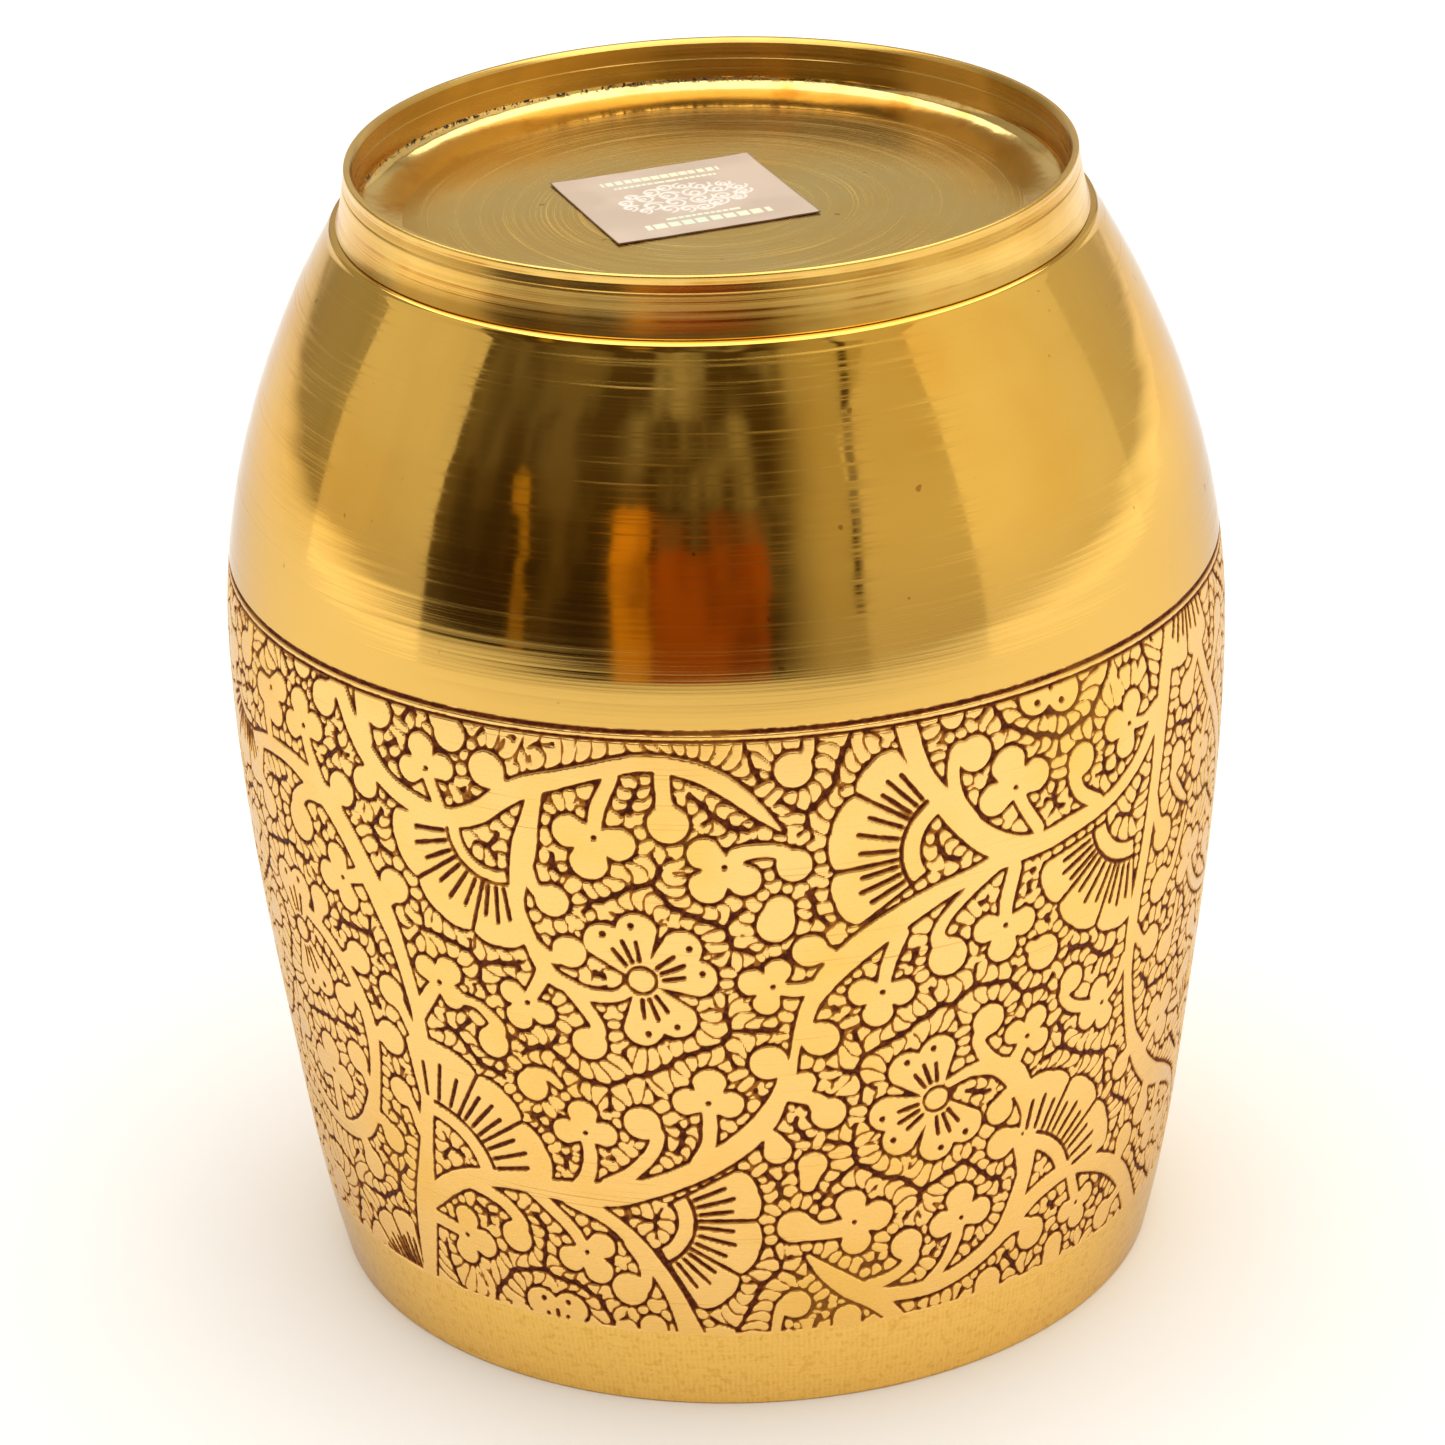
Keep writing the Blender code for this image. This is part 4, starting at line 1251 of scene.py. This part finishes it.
def label_foil():
    """Silvery pink foil with pale scrolls, and bars whose colour shifts across the label."""
    n = material_nodes("label_foil")
    place = n.place()
    x, y, _ = n.split(place)
    sweep = n.plus(n.times(x, 260), n.times(y, 190))
    wave = n.plus(n.times(n.math("SINE", sweep), 0.5), 0.5)
    foil = n.mix(n.ramp(n.noise(place, 110, 2.0), 0.35, 0.65), *FOIL_TONES)
    tone = n.mix(n.times(n.stored("bars"), 0.85), foil, n.mix(wave, *BAR_TONES))
    tone = n.mix(n.times(n.stored("ink"), 0.8), tone, SCROLL_TONE)
    tone = n.mix(n.stored("edge"), tone, CUT_EDGE_TONE)
    return n.finish(colour=tone, metallic=0.2, roughness=0.38, normal=n.bump(n.noise(place, 300), 1e-5))


def pale_floor():
    """Plain pale floor."""
    return material_nodes("pale_floor").finish(colour=(0.94, 0.94, 0.94, 1), roughness=0.9)


# ---------------------------------------------------------------- label

LABEL_LONG = 23.4 * MM
LABEL_SHORT = 21.8 * MM
LABEL_TURN = math.radians(20.5)
LABEL_SET_BACK = 6.8 * MM  # the visible base is deeper than the CAD's, its label further back
LABEL_CELLS = 150

# In millimetres from here on, as are places on the label, counted from its middle
FOIL_THICKNESS = 0.14
FOIL_GAP = 0.05  # between the base and the foil
CORNER_LIFT = 0.9  # how steeply the corners curl up
CUT_EDGE = 0.12  # width of the dark edge
INK_SOFT = 0.13  # width over which a scroll's line fades
SPIRAL_STEPS = 18

# Curls in a quarter of the scrollwork: place along and across the label, size
CURLS = (
    (1.5, 1.1, 1.3), (4.2, 1.2, 1.2), (6.6, 0.8, 0.9),
    (2.8, 2.9, 1.1), (1.0, 3.7, 1.0), (5.4, 2.4, 0.8),
)
# Dashed bars: level, half height, reach to each side, number of dashes
BARS = ((7.6, 0.55, 7.0, 13), (5.9, 0.3, 6.0, 17), (-5.9, 0.3, 4.4, 12), (-7.6, 0.75, 7.2, 9))


def spiral(centre, start, turns, size, way):
    """Return points along a small spiral."""
    points = []
    for step in range(SPIRAL_STEPS + 1):
        t = step / SPIRAL_STEPS
        angle = start + way * turns * 2 * math.pi * t
        radius = size * (1 - 0.85 * t)
        points.append((centre[0] + radius * math.cos(angle), centre[1] + radius * math.sin(angle)))
    return points


def label_marks(x, y):
    """Return the strength of the printed scrolls and of the bars at points of the label."""
    curls = []
    for mirror in (-1, 1):
        for flip in (-1, 1):
            for along, across, size in CURLS:
                centre = (mirror * along, flip * across)
                curls.append(spiral(centre, math.pi / 2 * flip, 1.2, size, mirror * flip))
                curls.append(spiral(centre, 0.4, 0.6, size * 1.3, -mirror))
    ink = np.full(x.shape, FAR)
    for curl in curls:
        for (x0, y0), (x1, y1) in zip(curl, curl[1:]):
            dx = x1 - x0
            dy = y1 - y0
            t = np.clip(((x - x0) * dx + (y - y0) * dy) / (dx * dx + dy * dy + 1e-9), 0, 1)
            ink = np.minimum(ink, np.hypot(x - x0 - t * dx, y - y0 - t * dy))
    bars = np.zeros(x.shape)
    for level, half, reach, count in BARS:
        dash = np.abs((x / reach * count / 2) % 1 - 0.5) < 0.40
        bars = np.maximum(bars, (np.abs(y - level) < half) & (np.abs(x) < reach) & dash)
    return np.clip(1.6 - ink / INK_SOFT, 0, 1), bars


def make_label():
    """Foil label stuck on the base, its corners a little lifted."""
    wide = LABEL_CELLS + 1
    line = np.linspace(-0.5, 0.5, wide)
    x, y = np.meshgrid(line * LABEL_LONG / MM, line * LABEL_SHORT / MM)
    corner = np.clip((np.abs(x) + np.abs(y)) * MM / LABEL_SHORT - 0.75, 0, 1)
    height = FOIL_GAP + CORNER_LIFT * corner**2 + 0.012 * np.sin(1.1 * x + 0.7 * y)
    ink, bars = label_marks(x, y)
    from_edge = np.minimum(LABEL_LONG / MM / 2 - np.abs(x), LABEL_SHORT / MM / 2 - np.abs(y))
    edge = (from_edge < CUT_EDGE).astype(float)
    cos, sin = math.cos(LABEL_TURN), math.sin(LABEL_TURN)
    middle = (LABEL_LOW + LABEL_HIGH) / 2 + Vector((0, LABEL_SET_BACK, 0))
    px = middle.x + (x * cos - y * sin) * MM
    py = middle.y + (x * sin + y * cos) * MM
    layers = []
    for lift in (0.0, FOIL_THICKNESS):
        layers.append(np.stack([px, py, DISC_LEVEL + (height + lift) * MM], -1).reshape(-1, 3))
    quads, border = grid_faces(wide, wide)
    after = np.roll(border, -1)
    rim = np.stack([border, after, after + wide * wide, border + wide * wide], -1)
    faces = np.vstack([quads[:, ::-1], quads + wide * wide, rim])
    label = new_piece("foil_label", np.vstack(layers), faces.tolist(), FOIL)
    for name, values in (("ink", ink), ("bars", bars), ("edge", edge)):
        store_values(label.data, name, np.tile(values.ravel(), 2))
    label.data.set_sharp_from_angle(angle=math.radians(50))
    return label


# ---------------------------------------------------------------- the pot

BRASS = polished_brass()
LATHED = lathed_brass()
BRAZE = braze()
ETCHED = etched_brass()
FOIL = label_foil()


def build_pot():
    """Make every visible piece and tie it to its CAD node."""
    land = draw_ornament()
    depth = etched_floor(land)
    depth_x, depth_y = slopes(depth)
    shell = make_shell()
    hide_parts("body_shell")
    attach(shell, "root")
    for index in range(PANELS):
        panel = make_panel(index, land, depth, depth_x, depth_y)
        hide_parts("body_shell")
        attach(panel, "root")
    ring = make_ring()
    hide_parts("foot_ring")
    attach(ring, "root")
    fillet = make_braze()
    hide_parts("braze_fillet")
    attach(fillet, "root")
    label = make_label()
    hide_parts("base_label")
    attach(label, "root")


# ---------------------------------------------------------------- camera, light and floor

CAMERA_PLACE = Vector((0.0, -0.5568, 0.3196))
CAMERA_RIGHT = Vector((0.99942, -0.01305, -0.03157))
CAMERA_UP = Vector((0.03413, 0.42074, 0.90654))
SENSOR = 36.0
CAMERA_LENS = 134.08  # for the sensor's width above

SIDE_REACH = 0.75  # from the pot's axis to the side boxes
SIDE_HEIGHT = 0.85
WARM_LIGHT = (1.0, 0.95, 0.86)
WHITE_LIGHT = (1.0, 1.0, 1.0)

# Side boxes, standing on the floor: name, side, middle and length along y, radiance
SIDE_BOXES = (
    ("left_box_near", -1, -0.02, 0.50, 0.52),
    ("left_box_gap", -1, 0.26, 0.06, 0.16),
    ("left_box_far", -1, 0.84, 1.10, 0.12),
    ("right_box_dim", 1, -0.86, 0.78, 0.18),
    ("right_box_near", 1, -0.11, 0.72, 0.47),
    ("right_box_far", 1, 0.825, 1.15, 0.34),
)


def place_camera():
    """Camera at the height and turn from which the pot is seen."""
    data = bpy.data.cameras.new("camera")
    data.lens = CAMERA_LENS
    data.sensor_width = SENSOR
    camera = bpy.data.objects.new("camera", data)
    bpy.context.collection.objects.link(camera)
    right = CAMERA_RIGHT.normalized()
    back = right.cross(CAMERA_UP).normalized()
    up = back.cross(right)
    turn = Matrix((right, up, back)).transposed().to_4x4()
    camera.matrix_world = Matrix.Translation(CAMERA_PLACE) @ turn
    bpy.context.scene.camera = camera


def soft_box(name, place, aim, size, radiance, colour):
    """Rectangular soft light of even radiance, aimed at a point."""
    data = bpy.data.lights.new(name, "AREA")
    data.shape = "RECTANGLE"
    data.size, data.size_y = size
    data.energy = radiance * size[0] * size[1] * math.pi
    data.color = colour
    light = bpy.data.objects.new(name, data)
    bpy.context.collection.objects.link(light)
    light.location = place
    way = Vector(aim) - Vector(place)
    light.rotation_euler = way.to_track_quat("-Z", "Y").to_euler()


def light_room():
    """Plain studio: soft boxes left, right, above and behind."""
    middle = SIDE_HEIGHT / 2
    for name, side, y, length, radiance in SIDE_BOXES:
        place = (side * SIDE_REACH, y, middle)
        soft_box(name, place, (0, y, middle), (length, SIDE_HEIGHT), radiance, WARM_LIGHT)
    soft_box("top_box", (0, 0.15, 1.5), (0, 0.15, 0), (2.4, 2.9), 2.05, WHITE_LIGHT)
    soft_box("back_box", (0, 1.45, 0.55), (0, 0, 0.3), (1.4, 0.8), 0.12, WHITE_LIGHT)


# The room that the brass mirrors, by the direction's x, y and z
DRAWN_UP = (1.0, 1.0, 0.45)  # stretches the room's blotches upwards
TEAR = (0.07, 0.0, 0.16)  # how ragged the edges along x and z are
DIM_ROOM = ((0.035, 0.02, 0.006, 1), (0.10, 0.065, 0.024, 1))
HIGH_ROOM = (0.07, 0.048, 0.023, 1)
HAZE = ((0.15, 0.12, 0.075, 1), (0.33, 0.31, 0.26, 1))
BRIGHT_RIGHT = (0.46, 0.39, 0.235, 1)
CRACK = (0.07, 0.04, 0.012, 1)
ROOM_SIDES = (0.26, 0.235, 0.18, 1)
ROOM_BACK = (0.44, 0.41, 0.33, 1)

# Glows low in the room: left, right and upper edge, then the dull and the bright colour
GLOWS = (
    ((-0.28, -0.25), (0.21, 0.19), (0.43, 0.32), (0.12, 0.03, 0.002, 1), (0.30, 0.075, 0.003, 1)),
    ((-0.41, -0.38), (-0.25, -0.27), (0.47, 0.38), (0.26, 0.10, 0.006, 1), (0.66, 0.30, 0.02, 1)),
    ((-0.725, -0.71), (-0.675, -0.69), (0.46, 0.38), (0.14, 0.07, 0.01, 1), (0.50, 0.29, 0.04, 1)),
)


def set_world():
    """Dim warm room, darkest before the pot near the floor, lighter overhead and behind."""
    world = bpy.data.worlds.new("room")
    bpy.context.scene.world = world
    n = Nodes(world)
    way = n.add("ShaderNodeTexCoord").outputs["Generated"]
    x, y, z = n.split(way)
    drawn = n.add("ShaderNodeVectorMath", {0: way, 1: DRAWN_UP}, operation="MULTIPLY").outputs[0]
    blotch = n.noise(drawn, 5.5, 3.0)
    tear = n.add("ShaderNodeTexNoise", {"Vector": way, "Scale": 11.0}).outputs["Color"]
    torn = n.add("ShaderNodeVectorMath", {0: tear, 1: TEAR, 2: way}, operation="MULTIPLY_ADD")
    torn_x, _, torn_z = n.split(torn.outputs[0])  # on average half of TEAR is added
    dim = n.mix(n.ramp(blotch, 0.35, 0.65), *DIM_ROOM)
    haze = n.mix(n.ramp(x, -0.45, -0.20), *HAZE)
    high = n.mix(n.ramp(blotch, 0.40, 0.66), HIGH_ROOM, haze)
    front = n.mix(n.ramp(z, 0.12, 0.55), dim, high)
    front = n.mix(n.ramp(x, 0.18, 0.42), front, BRIGHT_RIGHT)
    crack = n.within((x, 0.485, 0.495), (x, 0.53, 0.515), (torn_z, 0.16, 0.22))
    front = n.mix(crack, front, CRACK)
    mottle = n.ramp(blotch, 0.25, 0.60)
    for left, right, upper, dull, bright in GLOWS:
        inside = n.within((torn_x, *left), (torn_x, *right), (torn_z, *upper))
        front = n.mix(inside, front, n.mix(mottle, dull, bright))
    room = n.mix(n.ramp(y, -0.6, 0.76), front, ROOM_SIDES)
    room = n.mix(n.ramp(y, 0.74, 0.82), room, ROOM_BACK)
    n.feed(n.tree.nodes["Background"].inputs[0], room)


FLOOR_HALF = 3.0


def lay_floor():
    """Wide pale floor under the pot."""
    corners = [(x * FLOOR_HALF, y * FLOOR_HALF, 0) for x, y in ((-1, -1), (1, -1), (1, 1), (-1, 1))]
    floor = new_piece("floor", corners, [(0, 1, 2, 3)], pale_floor())


build_pot()
place_camera()
light_room()
set_world()
lay_floor()
bpy.context.scene.view_settings.view_transform = "Standard"
